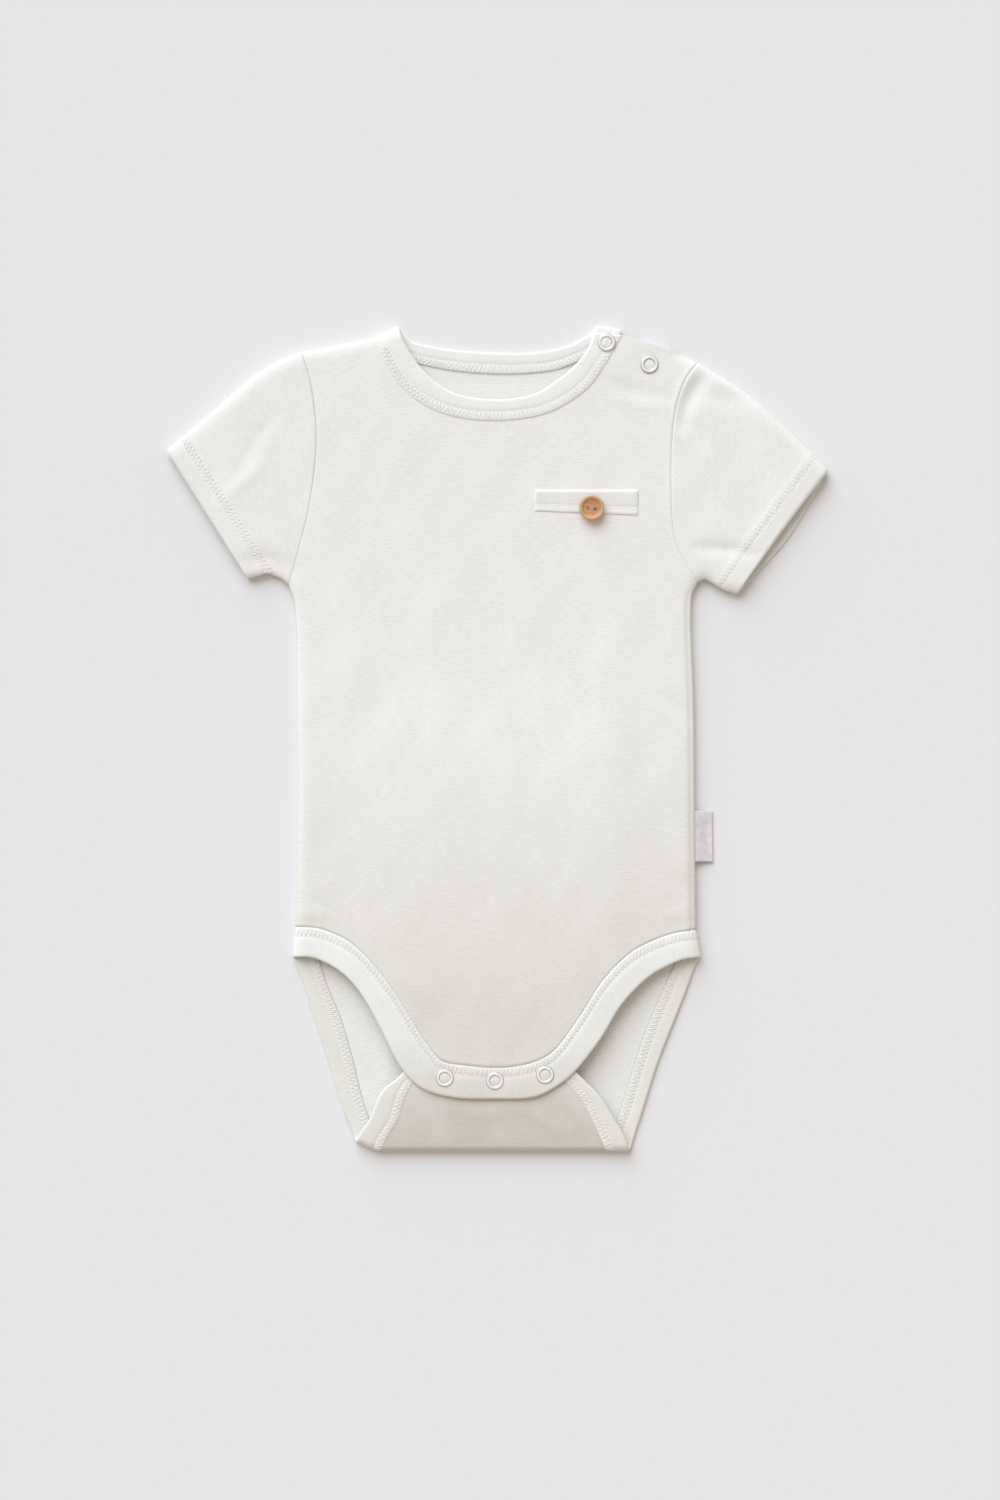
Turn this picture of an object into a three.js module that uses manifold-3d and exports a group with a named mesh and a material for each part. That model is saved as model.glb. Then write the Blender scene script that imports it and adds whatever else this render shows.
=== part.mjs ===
// A baby's short-sleeved bodysuit, laid flat on its back with its snaps fastened.
// Millimetres. +X is the wearer's left, +Y the shoulders, +Z up from the table.
import * as THREE from "three";
import { mergeVertices } from "three/addons/utils/BufferGeometryUtils.js";
import Module from "manifold-3d";

// Cloth, bindings and the air between the layers
const CLOTH = 1.0; // doubled interlock at a panel
const BINDING = 2.0; // folded strip over a panel's edge
const BINDING_END = 1.3; // a strip where it is sewn into a seam or folded flat
const BINDING_TAPER = 9; // over this length
const SEAM_GAP = 0.3;
const FLOOR_MID = CLOTH / 2; // mid-height of the layer that lies on the table
const TOP_MID = 5.2; // mid-height of the front over the chest
const SEAM_MID = (FLOOR_MID + TOP_MID) / 2;
const FRONT_ROLL = 6; // how far in from an edge the front is still rounding over
const BACK_ROLL = 2.4;
const CROTCH_LIFT = 4.0; // the front crotch lies on the folded tab
const BELLY_RISE = 1.8; // and the front is fuller still above it
const TAB_LIFT = 0.8; // the tab rises a little from its full fold to the front crotch
const SHOULDER_LIFT = 0.4; // the front's snap shoulder lies on the underlap
const LEFT_CUFF_LIFT = 0.4;
const RIGHT_CUFF_DROP = 0.6;
const FOLD_RADIUS = 2.4; // of the crotch tab's fold, at the middle of the cloth
const FOLD_EDGE_Y = -214.8;
const FOLD_CORNER = { rise: 4.4, from: 61, to: 75, above: 192 };
const TAB_END_Y = -166.2; // free edge of the crotch tab, hidden under the front crotch

// Trims
const RING = { outer: 4.5, inner: 2.8, height: 0.7 };
const SOCKET = { radius: 3.6, height: 0.5 };
const BUTTON = { radius: 6.5, rim: 2.3, dish: 1.6, hole: 0.9 };
const POCKET_TAB = {
  left: 19.5,
  right: 73.1,
  top: 129.0,
  bottomLeft: 117.8,
  bottomRight: 115.6,
  thick: 1.6,
};
const LABEL = { top: -38.0, bottom: -64.5, reach: 9.2, thick: 1.0, tipMid: 0.6 };

const COLOURS = { cloth: 0xefeee9, trim: 0xf3f3ee, snap: 0xf4f4f0, wood: 0xb5865f, label: 0xd6d2d3 };

// Outlines and seams in plan, as points that smooth curves pass through
const SHOULDER_RIGHT = [[-63.2, 208.5], [-80.9, 204.4], [-101.7, 200.7]];
const SHOULDER_LEFT = [[64.7, 209.4], [81.9, 204.4], [103.7, 195.0]];
const SHOULDER_LEFT_SEWN = [94.6, 199.1]; // the shoulder is closed from here to the armhole
const BACK_SHOULDER_LEFT = [
  [64.0, 211.4], [66.5, 204.6], [72.0, 202.8], [80.0, 200.2], [88.0, 197.8], [94.6, 198.9], [103.7, 195.0],
];
const SLEEVE_TOP_RIGHT = [
  [-101.7, 200.7], [-112.6, 196.6], [-125.6, 188.8], [-143.3, 173.7], [-172.0, 148.9],
];
const SLEEVE_TOP_LEFT = [
  [103.7, 195.0], [115.7, 187.7], [131.3, 177.3], [157.3, 153.9], [172.0, 138.8],
];
const UNDERARM_RIGHT = [
  [-108.4, 80.1], [-113.1, 83.7], [-119.3, 85.8], [-124.5, 84.8], [-130.3, 83.2],
];
const UNDERARM_LEFT = [
  [103.7, 81.1], [107.3, 82.9], [111.5, 81.1], [117.8, 77.5], [125.1, 75.4],
];
const SIDE_RIGHT = [
  [-108.4, 80.1], [-105.6, 71.8], [-104.3, 58.8], [-103.7, 19.8], [-103.3, -32.2], [-104.8, -98.3],
];
const SIDE_LEFT = [
  [103.7, 81.1], [100.9, 74.9], [100.2, 64.0], [101.6, 19.8], [102.1, -32.2], [102.7, -99.8],
];
const ARMHOLE_RIGHT = [
  [-101.7, 200.7], [-97.0, 185.1], [-94.0, 156.0], [-97.6, 122.0], [-103.2, 98.8], [-108.4, 80.1],
];
const ARMHOLE_LEFT = [
  [103.7, 195.0], [97.5, 186.2], [92.4, 170.0], [90.2, 135.0], [93.0, 101.0], [103.7, 81.1],
];
const CUFF_RIGHT = [[-172.0, 148.9], [-151.0, 115.8], [-130.3, 83.2]];
const CUFF_LEFT_FRONT = [[172.0, 138.8], [147.0, 106.0], [125.1, 75.4]];
const CUFF_LEFT_BACK = [[172.0, 138.8], [151.6, 104.0], [125.1, 75.4]];
const NECK_FRONT_SEAM = [
  [-63.2, 208.5], [-59.3, 197.0], [-50.2, 183.0], [-39.8, 174.2], [-25.0, 167.7], [-1.0, 164.9],
  [23.1, 168.0], [36.7, 174.2], [48.1, 183.0], [57.5, 196.4], [64.7, 209.4],
];
const NECK_FRONT_FREE = [
  [-51.2, 213.6], [-49.0, 207.0], [-40.8, 193.6], [-31.5, 184.6], [-21.0, 178.8], [-1.0, 176.1],
  [18.5, 178.7], [29.9, 185.4], [39.3, 192.9], [46.2, 201.2], [50.5, 210.4],
];
const NECK_BACK_SEAM = [
  [-63.2, 208.5], [-57.2, 202.4], [-48.0, 197.4], [-34.0, 193.6], [-19.0, 191.1], [0.0, 189.9],
  [17.0, 190.3], [31.5, 192.4], [45.5, 198.1], [56.0, 204.6], [64.0, 211.4],
];
const NECK_BACK_FREE = [
  [-51.2, 213.6], [-48.1, 210.2], [-43.5, 206.2], [-30.0, 203.3], [-17.0, 201.7], [0.5, 200.8],
  [17.5, 200.8], [29.5, 202.5], [39.0, 205.2], [46.0, 209.2], [51.0, 213.4],
];
const LEG_FRONT_SEAM = [
  [-104.8, -98.3], [-94.9, -98.8], [-86.1, -101.4], [-76.7, -106.1], [-67.9, -113.9], [-54.5, -130.5],
  [-43.9, -147.7], [-36.1, -159.6], [-28.9, -167.6], [-15.3, -170.2], [-1.3, -171.4], [12.7, -170.0],
  [23.6, -166.4], [30.4, -161.3], [43.4, -143.5], [54.5, -126.2], [68.9, -111.8], [79.3, -106.1],
  [90.7, -101.9], [102.7, -99.8],
];
const LEG_FRONT_FREE = [
  [-106.3, -113.9], [-97.5, -113.9], [-88.7, -117.0], [-79.3, -123.2], [-71.0, -132.6], [-61.0, -150.0],
  [-51.7, -168.5], [-45.5, -176.8], [-37.7, -182.7], [-23.0, -186.6], [-0.8, -187.4], [19.5, -186.3],
  [31.0, -180.6], [39.3, -174.0], [53.6, -156.0], [64.4, -138.4], [78.3, -124.3], [88.7, -118.2],
  [97.0, -114.9], [105.3, -113.9],
];
// The back's leg edges, down to the fold and then up the tab that is folded over it
const LEG_BACK_RIGHT = [
  { seam: [-104.8, -98.3], free: [-106.3, -113.9] },
  { seam: [-98.5, -105.0], free: [-105.9, -115.4] },
  { seam: [-93.3, -115.4], free: [-104.4, -118.6] },
  { seam: [-89.1, -128.4], free: [-101.3, -127.5] },
  { seam: [-81.6, -147.0], free: [-94.4, -148.5] },
  { seam: [-75.7, -167.4], free: [-88.0, -169.0] },
  { seam: [-70.3, -189.0], free: [-81.4, -190.5] },
];
const TAB_RIGHT = [
  { seam: [-57.5, -208.0], free: [-71.4, -208.0] },
  { seam: [-51.7, -198.5], free: [-66.6, -197.5] },
  { seam: [-47.6, -186.0], free: [-61.0, -184.0] },
];
const LEG_BACK_LEFT = [
  { seam: [102.7, -99.8], free: [105.3, -113.9] },
  { seam: [97.5, -106.6], free: [104.8, -115.6] },
  { seam: [92.8, -117.0], free: [102.8, -119.6] },
  { seam: [86.6, -131.0], free: [98.3, -132.0] },
  { seam: [79.0, -149.0], free: [90.6, -151.5] },
  { seam: [72.2, -168.0], free: [83.4, -170.0] },
  { seam: [65.6, -190.0], free: [76.6, -191.5] },
];
const TAB_LEFT = [
  { seam: [53.6, -208.0], free: [66.4, -208.0] },
  { seam: [49.6, -199.5], free: [61.6, -198.5] },
  { seam: [43.6, -188.0], free: [54.6, -187.5] },
];
const TAB_CORNERS = { right: [-43.5, -178.6], left: [35.5, -178.6] };

// Soft folds of the cloth: a line in plan, how wide it is and how far it stands up (+) or sinks (-)
const CREASES = [
  { name: "left front ridge", from: [50.7, 50], to: [50.7, -84], width: 8, rise: 0.5 },
  { name: "middle trough", from: [-22, 60], to: [-22, -58], width: 8, rise: -0.45 },
  { name: "right front trough", from: [-64, 60], to: [-63, 18], width: 8, rise: -0.4 },
  { name: "lower trough", from: [11.7, -10], to: [11.7, -84], width: 7, rise: -0.35 },
  { name: "left side trough", from: [81, 50], to: [80, -80], width: 8, rise: -0.4 },
  { name: "left armhole fold", from: [97, 168], to: [107, 189], width: 5, rise: -1.1 },
  { name: "left sleeve head", from: [104, 179], to: [129, 176], width: 6, rise: -0.6 },
  { name: "left underarm fold", from: [105, 98], to: [134, 95.6], width: 5, rise: -0.9 },
  { name: "right sleeve drag", from: [-118, 166], to: [-134, 139], width: 6, rise: -0.5 },
  { name: "right sleeve hem drag", from: [-124, 140], to: [-142, 123], width: 6, rise: 0.4 },
  { name: "neck drag", from: [56, 184.5], to: [87, 177], width: 5, rise: -0.4 },
];

// Fastened snaps, with the mid-height of the socket between the layers
const SNAPS = [
  { name: "neck", at: [56.7, 205.4], socket: 3.9 },
  { name: "shoulder", at: [79.0, 194.2], socket: 4.2 },
  { name: "crotch_right", at: [-27.3, -176.3], socket: 7.65 },
  { name: "crotch_middle", at: [-1.3, -177.8], socket: 7.65 },
  { name: "crotch_left", at: [24.7, -174.7], socket: 7.65 },
];

// Spacing of the mesh: close together where an edge rounds over
const NEAR_EDGE = [0, 0.8, 2.6, 7];
const NECK_STATIONS = 17;
const SHOULDER_STATIONS = 6;
const ARMHOLE_STATIONS = 15;
const SIDE_STATIONS = 11;
const LEG_ROWS_Y = [-104, -111, -120, -132, -146, -161, -177, -194]; // the back's, beside the leg holes
const TAB_ROWS_Y = [-225, -235]; // and on the folded tab, given unfolded
const SLEEVE_ROWS = 8;

const v2 = (xy) => new THREE.Vector2(xy[0], xy[1]);
const mix = THREE.MathUtils.lerp;
const smooth = THREE.MathUtils.smoothstep;

// A smooth line in plan through a few points, as many short steps
function curve(points) {
  const through = points.map(([x, y]) => new THREE.Vector3(x, y, 0));
  const line = new THREE.CatmullRomCurve3(through, false, "centripetal");
  return line.getPoints(points.length * 12).map((p) => new THREE.Vector2(p.x, p.y));
}

function lengthOf(line) {
  return line.slice(1).reduce((sum, p, i) => sum + p.distanceTo(line[i]), 0);
}

// Points of a line at given distances from its start
function pointsAt(line, distances) {
  let step = 0;
  let passed = 0;
  return distances.map((distance) => {
    while (step < line.length - 2 && passed + line[step].distanceTo(line[step + 1]) < distance) {
      passed += line[step].distanceTo(line[step + 1]);
      step += 1;
    }
    const along = (distance - passed) / line[step].distanceTo(line[step + 1]);
    return line[step].clone().lerp(line[step + 1], Math.min(along, 1));
  });
}

// Distances along a line, close together at an end that rounds over and even between
function distancesAlong(length, count, closeStart, closeEnd) {
  const start = closeStart ? NEAR_EDGE : [0];
  const end = (closeEnd ? NEAR_EDGE : [0]).map((d) => length - d).reverse();
  const between = count - start.length - end.length;
  const from = start.at(-1);
  const span = end[0] - from;
  const middle = Array.from({ length: between }, (_, i) => from + (span * (i + 1)) / (between + 1));
  return [...start, ...middle, ...end];
}

function sample(points, count, closeStart = false, closeEnd = false) {
  const line = curve(points);
  return pointsAt(line, distancesAlong(lengthOf(line), count, closeStart, closeEnd));
}

const joined = (...lines) => lines.reduce((all, line) => [...all, ...line.slice(1)]);
const reversed = (line) => [...line].reverse();

// Where the cloth turns over from the front to the back
const TURNED_EDGES = [
  joined(
    [v2(NECK_FRONT_FREE[0]), v2(SHOULDER_RIGHT[0])],
    curve(SHOULDER_RIGHT),
    curve(SLEEVE_TOP_RIGHT),
  ),
  joined(
    reversed(curve(UNDERARM_RIGHT)),
    curve(SIDE_RIGHT),
    [v2(SIDE_RIGHT.at(-1)), v2(LEG_FRONT_FREE[0])],
  ),
  joined([v2(SHOULDER_LEFT_SEWN), v2(SLEEVE_TOP_LEFT[0])], curve(SLEEVE_TOP_LEFT)),
  joined(
    reversed(curve(UNDERARM_LEFT)),
    curve(SIDE_LEFT),
    [v2(SIDE_LEFT.at(-1)), v2(LEG_FRONT_FREE.at(-1))],
  ),
];
const ON_THE_EDGE = 0.05; // this near, the direction away is taken from the edge itself
const CHEST = new THREE.Vector2(0, 60);

// Distance from a point to the nearest turned edge, and the direction away from it
function fromTurnedEdge(x, y) {
  let nearest = { distance: Infinity };
  for (const line of TURNED_EDGES) {
    for (let i = 1; i < line.length; i += 1) {
      const a = line[i - 1];
      const run = line[i].clone().sub(a);
      const share = THREE.MathUtils.clamp(((x - a.x) * run.x + (y - a.y) * run.y) / run.lengthSq(), 0, 1);
      const offset = new THREE.Vector2(x - a.x - share * run.x, y - a.y - share * run.y);
      if (offset.length() < nearest.distance) nearest = { distance: offset.length(), offset, run };
    }
  }
  let inward = nearest.offset;
  if (nearest.distance < ON_THE_EDGE) {
    inward = new THREE.Vector2(-nearest.run.y, nearest.run.x);
    if (inward.dot(CHEST.clone().sub(v2([x, y]))) < 0) inward.negate();
  }
  return { distance: nearest.distance, inward: inward.normalize() };
}

function creaseRise(x, y) {
  let rise = 0;
  for (const crease of CREASES) {
    const a = v2(crease.from);
    const run = v2(crease.to).sub(a);
    const share = THREE.MathUtils.clamp(((x - a.x) * run.x + (y - a.y) * run.y) / run.lengthSq(), 0, 1);
    const distance = Math.hypot(x - a.x - share * run.x, y - a.y - share * run.y);
    rise += crease.rise * Math.exp(-((distance / crease.width) ** 2) * 2);
  }
  return rise;
}

// Mid-height of the front away from its edges
function frontHeight(x, y) {
  const belly = BELLY_RISE * smooth(-y, -60, 108) * (1 - smooth(-y, 112, 168));
  const full = (CROTCH_LIFT * smooth(-y, -60, 112) + belly) * (1 - 0.75 * smooth(Math.abs(x), 40, 100));
  const shoulder = SHOULDER_LIFT * smooth(x, 40, 60) * (1 - smooth(x, 85, 100)) * smooth(y, 175, 195);
  const cuff = x > 0 ? LEFT_CUFF_LIFT * smooth(x, 125, 150) : -RIGHT_CUFF_DROP * smooth(-x, 125, 155);
  return TOP_MID + full + shoulder + cuff + creaseRise(x, y);
}

// A point of the garment's surface and its outward normal. The layers meet where they turn over.
function layer(x, y, side, seam = 0) {
  const { distance, inward } = fromTurnedEdge(x, y);
  const roll = side > 0 ? FRONT_ROLL : BACK_ROLL;
  const angle = distance < roll ? Math.acos(1 - distance / roll) : Math.PI / 2;
  const reach = side > 0 ? frontHeight(x, y) - SEAM_MID : SEAM_MID - FLOOR_MID;
  const z = SEAM_MID + side * (reach * Math.sin(angle) + seam * (1 - Math.sin(angle)));
  const tilt = reach * Math.cos(angle);
  const normal = new THREE.Vector3(-inward.x * tilt, -inward.y * tilt, side * roll * Math.sin(angle));
  return { p: new THREE.Vector3(x, y, z), n: normal.normalize(), half: CLOTH / 2 };
}

const front = (x, y) => layer(x, y, 1, SEAM_GAP / 2);
const back = (x, y) => layer(x, y, -1, SEAM_GAP / 2);

// The back below the fold line, given as it lies unfolded: round the fold, then up over itself
const FOLD_START_Y = FOLD_EDGE_Y + CLOTH / 2 + FOLD_RADIUS;
const FOLD_LENGTH = Math.PI * FOLD_RADIUS;
const unfolded = (y) => 2 * FOLD_START_Y - FOLD_LENGTH - y;

// The fold's right corner is drawn up a little, floor layer and tab together
function cornerRise(x, y) {
  const near = smooth(-x, FOLD_CORNER.from, FOLD_CORNER.to) * smooth(-y, FOLD_CORNER.above, -FOLD_EDGE_Y);
  return FOLD_CORNER.rise * near;
}

function backUnfolded(x, y) {
  const past = FOLD_START_Y - y;
  const angle = THREE.MathUtils.clamp(past / FOLD_RADIUS, 0, Math.PI);
  const flat = past <= 0 ? back(x, y) : { n: new THREE.Vector3(0, -Math.sin(angle), -Math.cos(angle)) };
  const up = Math.max(0, past - FOLD_LENGTH);
  const plan = Math.max(y, FOLD_START_Y) - FOLD_RADIUS * Math.sin(angle) + up;
  const folded = FLOOR_MID + FOLD_RADIUS * (1 - Math.cos(angle)) + TAB_LIFT * smooth(up, 2, 26);
  const z = past <= 0 ? flat.p.z : folded;
  return { p: new THREE.Vector3(x, plan + cornerRise(x, plan), z), n: flat.n, half: CLOTH / 2 };
}

// A closed wall round a grid of surface points, each with a normal and half the thickness there
function wall(rows, closed = false) {
  const across = rows[0].length;
  const points = [];
  const index = [];
  for (const sign of [1, -1]) {
    for (const { p, n, half } of rows.flat()) points.push(p.clone().addScaledVector(n, sign * half));
  }
  const inner = rows.length * across;
  const at = (j, i) => j * across + (i % across);
  const quad = (a, b, c, d) => index.push(a, b, c, a, c, d);
  for (let j = 0; j + 1 < rows.length; j += 1) {
    for (let i = 0; i + 1 < across + (closed ? 1 : 0); i += 1) {
      const [a, b, c, d] = [at(j, i), at(j, i + 1), at(j + 1, i + 1), at(j + 1, i)];
      quad(a, b, c, d);
      quad(inner + d, inner + c, inner + b, inner + a);
    }
  }
  const rim = (a, b) => quad(b, a, inner + a, inner + b);
  for (let i = 0; i + 1 < across + (closed ? 1 : 0); i += 1) {
    rim(at(0, i), at(0, i + 1));
    rim(at(rows.length - 1, i + 1), at(rows.length - 1, i));
  }
  for (let j = 0; j + 1 < rows.length && !closed; j += 1) {
    rim(at(j + 1, 0), at(j, 0));
    rim(at(j, across - 1), at(j + 1, across - 1));
  }
  return facingOut(points, index);
}

// The geometry of a closed surface, turned so that its faces point out
function facingOut(points, index) {
  let volume = 0;
  for (let i = 0; i < index.length; i += 3) {
    const [a, b, c] = [points[index[i]], points[index[i + 1]], points[index[i + 2]]];
    volume += a.dot(b.clone().cross(c));
  }
  if (volume < 0) index.reverse();
  const geometry = new THREE.BufferGeometry().setFromPoints(points);
  geometry.setIndex(index);
  geometry.computeVertexNormals();
  return geometry;
}

// Moves the corners of a closed outline in, each edge by its own gap
function drawnIn(loop, gaps) {
  const area = loop.reduce((sum, p, i) => sum + p.cross(loop[(i + 1) % loop.length]), 0);
  const turn = Math.sign(area);
  const inwardOf = (i) => {
    const a = loop[(i + loop.length) % loop.length];
    const run = loop[(i + 1) % loop.length].clone().sub(a).normalize();
    return new THREE.Vector2(-run.y * turn, run.x * turn);
  };
  return loop.map((p, i) => {
    const before = (i + loop.length - 1) % loop.length;
    const [n, m] = [inwardOf(before), inwardOf(i)];
    const [g, h] = [gaps[before], gaps[i]];
    const det = n.cross(m);
    if (Math.abs(det) < 0.2) return p.clone().addScaledVector(n.add(m).normalize(), (g + h) / 2);
    return new THREE.Vector2(p.x + (g * m.y - h * n.y) / det, p.y + (h * n.x - g * m.x) / det);
  });
}

// A panel's four edges with a seam's half gap taken off those that are sewn edge to edge. top and
// bottom run the same way, as left and right do, and each sewn list gives its steps' half gaps.
function cutToSeams(edges, sewn) {
  const { top, right, bottom, left } = edges;
  const loop = [top, right, reversed(bottom), reversed(left)].flatMap((edge) => edge.slice(0, -1));
  const gaps = [sewn.top, sewn.right, reversed(sewn.bottom), reversed(sewn.left)].flat();
  const moved = drawnIn(loop, gaps);
  const corners = [0, top.length - 1, top.length + right.length - 2];
  const last = corners[2] + bottom.length - 1;
  return {
    top: moved.slice(0, corners[1] + 1),
    right: moved.slice(corners[1], corners[2] + 1),
    bottom: reversed(moved.slice(corners[2], last + 1)),
    left: reversed([...moved.slice(last), moved[0]]),
  };
}

// Half gaps along an edge: none where the cloth turns over, and wider where a seam ends at the
// underarm, because the cloth bulges out to both sides there
const HALF_GAP = SEAM_GAP / 2;
const UNDERARM_HALF_GAP = 0.35;
const turnedSteps = (count) => Array(count).fill(0);
const sewnSteps = (count) => Array(count).fill(HALF_GAP);
const armholeSteps = [...sewnSteps(ARMHOLE_STATIONS - 2), UNDERARM_HALF_GAP];

// Shares of a line's length at each of its points
function sharesOf(line) {
  let sum = 0;
  const sums = [0, ...line.slice(1).map((p, i) => (sum += p.distanceTo(line[i])))];
  return sums.map((s) => s / sum);
}

// Fills four edges with rows of points. fade says how far down the top edge's form is kept,
// and spread where the columns change from the top's spacing to the bottom's.
function fill({ top, right, bottom, left }, fade, spread) {
  const [topShare, bottomShare] = [sharesOf(top), sharesOf(bottom)];
  const down = sharesOf(left).map((s, j) => (s + sharesOf(right)[j]) / 2);
  const bow = (line, shares) =>
    line.map((p, i) => p.clone().sub(line[0].clone().lerp(line.at(-1), shares[i])));
  const [topBow, bottomBow] = [bow(top, topShare), bow(bottom, bottomShare)];
  return down.map((v, j) =>
    top.map((_, i) => {
      const share = mix(topShare[i], bottomShare[i], spread(v));
      const point = left[j].clone().lerp(right[j], share);
      return point.addScaledVector(topBow[i], 1 - fade(v)).addScaledVector(bottomBow[i], fade(v));
    }),
  );
}

const onto = (rows, surface) => rows.map((row) => row.map((p) => surface(p.x, p.y)));

// Seams that two pieces share, so that both are made from the same points
const seam = {
  shoulderRight: sample(SHOULDER_RIGHT, SHOULDER_STATIONS, false, true),
  shoulderLeft: sample(SHOULDER_LEFT, SHOULDER_STATIONS, false, true),
  backShoulderLeft: sample(BACK_SHOULDER_LEFT, SHOULDER_STATIONS, false, true),
  neckFront: sample(NECK_FRONT_SEAM, NECK_STATIONS, true),
  neckBack: sample(NECK_BACK_SEAM, NECK_STATIONS, true),
  armholeRight: sample(ARMHOLE_RIGHT, ARMHOLE_STATIONS, true, true),
  armholeLeft: sample(ARMHOLE_LEFT, ARMHOLE_STATIONS, true, true),
  sideRight: sample(SIDE_RIGHT, SIDE_STATIONS, true),
  sideLeft: sample(SIDE_LEFT, SIDE_STATIONS, true),
};
const COLUMNS = 2 * SHOULDER_STATIONS + NECK_STATIONS - 2;

const material = (colour, roughness) =>
  new THREE.MeshStandardMaterial({ color: colour, roughness, metalness: 0 });

const onesie = new THREE.Group();

function add(name, geometry, colour, roughness = 0.9) {
  const mesh = new THREE.Mesh(geometry, material(colour, roughness));
  mesh.name = name;
  onesie.add(mesh);
  return mesh;
}

// Front panel: shoulders and neck above, the leg edges and crotch below
const legFront = {
  seam: sample(LEG_FRONT_SEAM, COLUMNS, true, true),
  free: sample(LEG_FRONT_FREE, COLUMNS, true, true),
};
const frontEdges = {
  top: joined(reversed(seam.shoulderRight), seam.neckFront, seam.shoulderLeft),
  right: joined(seam.armholeLeft, seam.sideLeft),
  bottom: legFront.seam,
  left: joined(seam.armholeRight, seam.sideRight),
};
const frontSewn = {
  top: [...turnedSteps(SHOULDER_STATIONS - 1), ...sewnSteps(COLUMNS - SHOULDER_STATIONS)],
  right: [...armholeSteps, ...turnedSteps(SIDE_STATIONS - 1)],
  bottom: sewnSteps(COLUMNS - 1),
  left: [...armholeSteps, ...turnedSteps(SIDE_STATIONS - 1)],
};
const frontRows = fill(cutToSeams(frontEdges, frontSewn), (v) => v, (v) => v);
add("front_panel", wall(onto(frontRows, front)), COLOURS.cloth);

// Back panel: the same sides, then the leg edges down to the fold and up the tab's sides
function backLegEdge(leg, tab, corner) {
  const onFloor = leg.map((row) => row.seam);
  const folded = tab.map(({ seam: [x, y] }) => [x, unfolded(y)]);
  const line = curve([...onFloor, ...folded, [corner[0], unfolded(corner[1])]]);
  const foldSteps = [0, 1, 2, 3, 4].map((i) => FOLD_START_Y - (FOLD_LENGTH * i) / 4);
  const heights = [...LEG_ROWS_Y, ...foldSteps, ...TAB_ROWS_Y, unfolded(corner[1])];
  const atHeight = (y) => {
    const i = line.findIndex((p) => p.y <= y + 1e-6);
    return line[i - 1].clone().lerp(line[i], (line[i - 1].y - y) / (line[i - 1].y - line[i].y));
  };
  return [line[0], ...heights.map(atHeight)];
}
const backLegRight = backLegEdge(LEG_BACK_RIGHT, TAB_RIGHT, TAB_CORNERS.right);
const backLegLeft = backLegEdge(LEG_BACK_LEFT, TAB_LEFT, TAB_CORNERS.left);
const LEG_STEPS = backLegRight.length - 1;
const backEdges = {
  top: joined(reversed(seam.shoulderRight), seam.neckBack, seam.backShoulderLeft),
  right: joined(seam.armholeLeft, seam.sideLeft, backLegLeft),
  bottom: pointsAt(
    [backLegRight.at(-1), backLegLeft.at(-1)],
    distancesAlong(backLegRight.at(-1).distanceTo(backLegLeft.at(-1)), COLUMNS, false, false),
  ),
  left: joined(seam.armholeRight, seam.sideRight, backLegRight),
};
const backSewn = {
  top: frontSewn.top,
  right: [...frontSewn.right, ...sewnSteps(LEG_STEPS)],
  bottom: sewnSteps(COLUMNS - 1),
  left: [...frontSewn.left, ...sewnSteps(LEG_STEPS)],
};
const backRows = fill(
  cutToSeams(backEdges, backSewn),
  (v) => smooth(v, 0, 0.35),
  (v) => smooth(v, 0.55, 0.8),
);
add("back_panel", wall(onto(backRows, backUnfolded)), COLOURS.cloth);

// Sleeves: flattened tubes, sewn into the armhole and open at the cuff
function sleeve(armhole, overArm, underArm, cuffFront, cuffBack) {
  const layers = [cuffFront, cuffBack].map((cuff) => {
    const edges = {
      top: armhole,
      right: sample(underArm, SLEEVE_ROWS),
      bottom: sample(cuff, ARMHOLE_STATIONS, true, true),
      left: sample(overArm, SLEEVE_ROWS),
    };
    const sewn = {
      top: armholeSteps,
      right: turnedSteps(SLEEVE_ROWS - 1),
      bottom: turnedSteps(ARMHOLE_STATIONS - 1),
      left: turnedSteps(SLEEVE_ROWS - 1),
    };
    return fill(cutToSeams(edges, sewn), (v) => v, (v) => v);
  });
  return layers[0].map((row, j) => [
    ...row.map((p) => layer(p.x, p.y, 1)),
    ...reversed(layers[1][j].slice(1, -1)).map((p) => layer(p.x, p.y, -1)),
  ]);
}
add(
  "sleeve_right",
  wall(sleeve(seam.armholeRight, SLEEVE_TOP_RIGHT, UNDERARM_RIGHT, CUFF_RIGHT, CUFF_RIGHT), true),
  COLOURS.cloth,
);
add(
  "sleeve_left",
  wall(sleeve(seam.armholeLeft, SLEEVE_TOP_LEFT, UNDERARM_LEFT, CUFF_LEFT_FRONT, CUFF_LEFT_BACK), true),
  COLOURS.cloth,
);

// A binding strip: stations from the seam edge to the folded free edge, on a surface
const STRIP = [
  { across: 0, share: 1 },
  { across: 0.45, share: 1 },
  { across: 0.86, share: 1 },
  { across: 1, share: 0.45 },
];

function strip(stations) {
  return stations.map(({ seam: s, free, surface, thick = BINDING, lift = 0 }) => {
    const start = (SEAM_GAP / 2) / Math.max(s.distanceTo(free), 1);
    return STRIP.map(({ across, share }) => {
      const at = s.clone().lerp(free, mix(start, 1, across));
      const { p, n } = surface(at.x, at.y);
      return { p: p.clone().addScaledVector(n, lift), n, half: (thick / 2) * share };
    });
  });
}

// A strip is thinner where it is caught in a seam, so that it rounds over with the cloth
function thickNear(distance) {
  return mix(BINDING_END, BINDING, smooth(distance, 0, BINDING_TAPER));
}
const onFloorLift = (thick) => -(thick - CLOTH) / 2;

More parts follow.
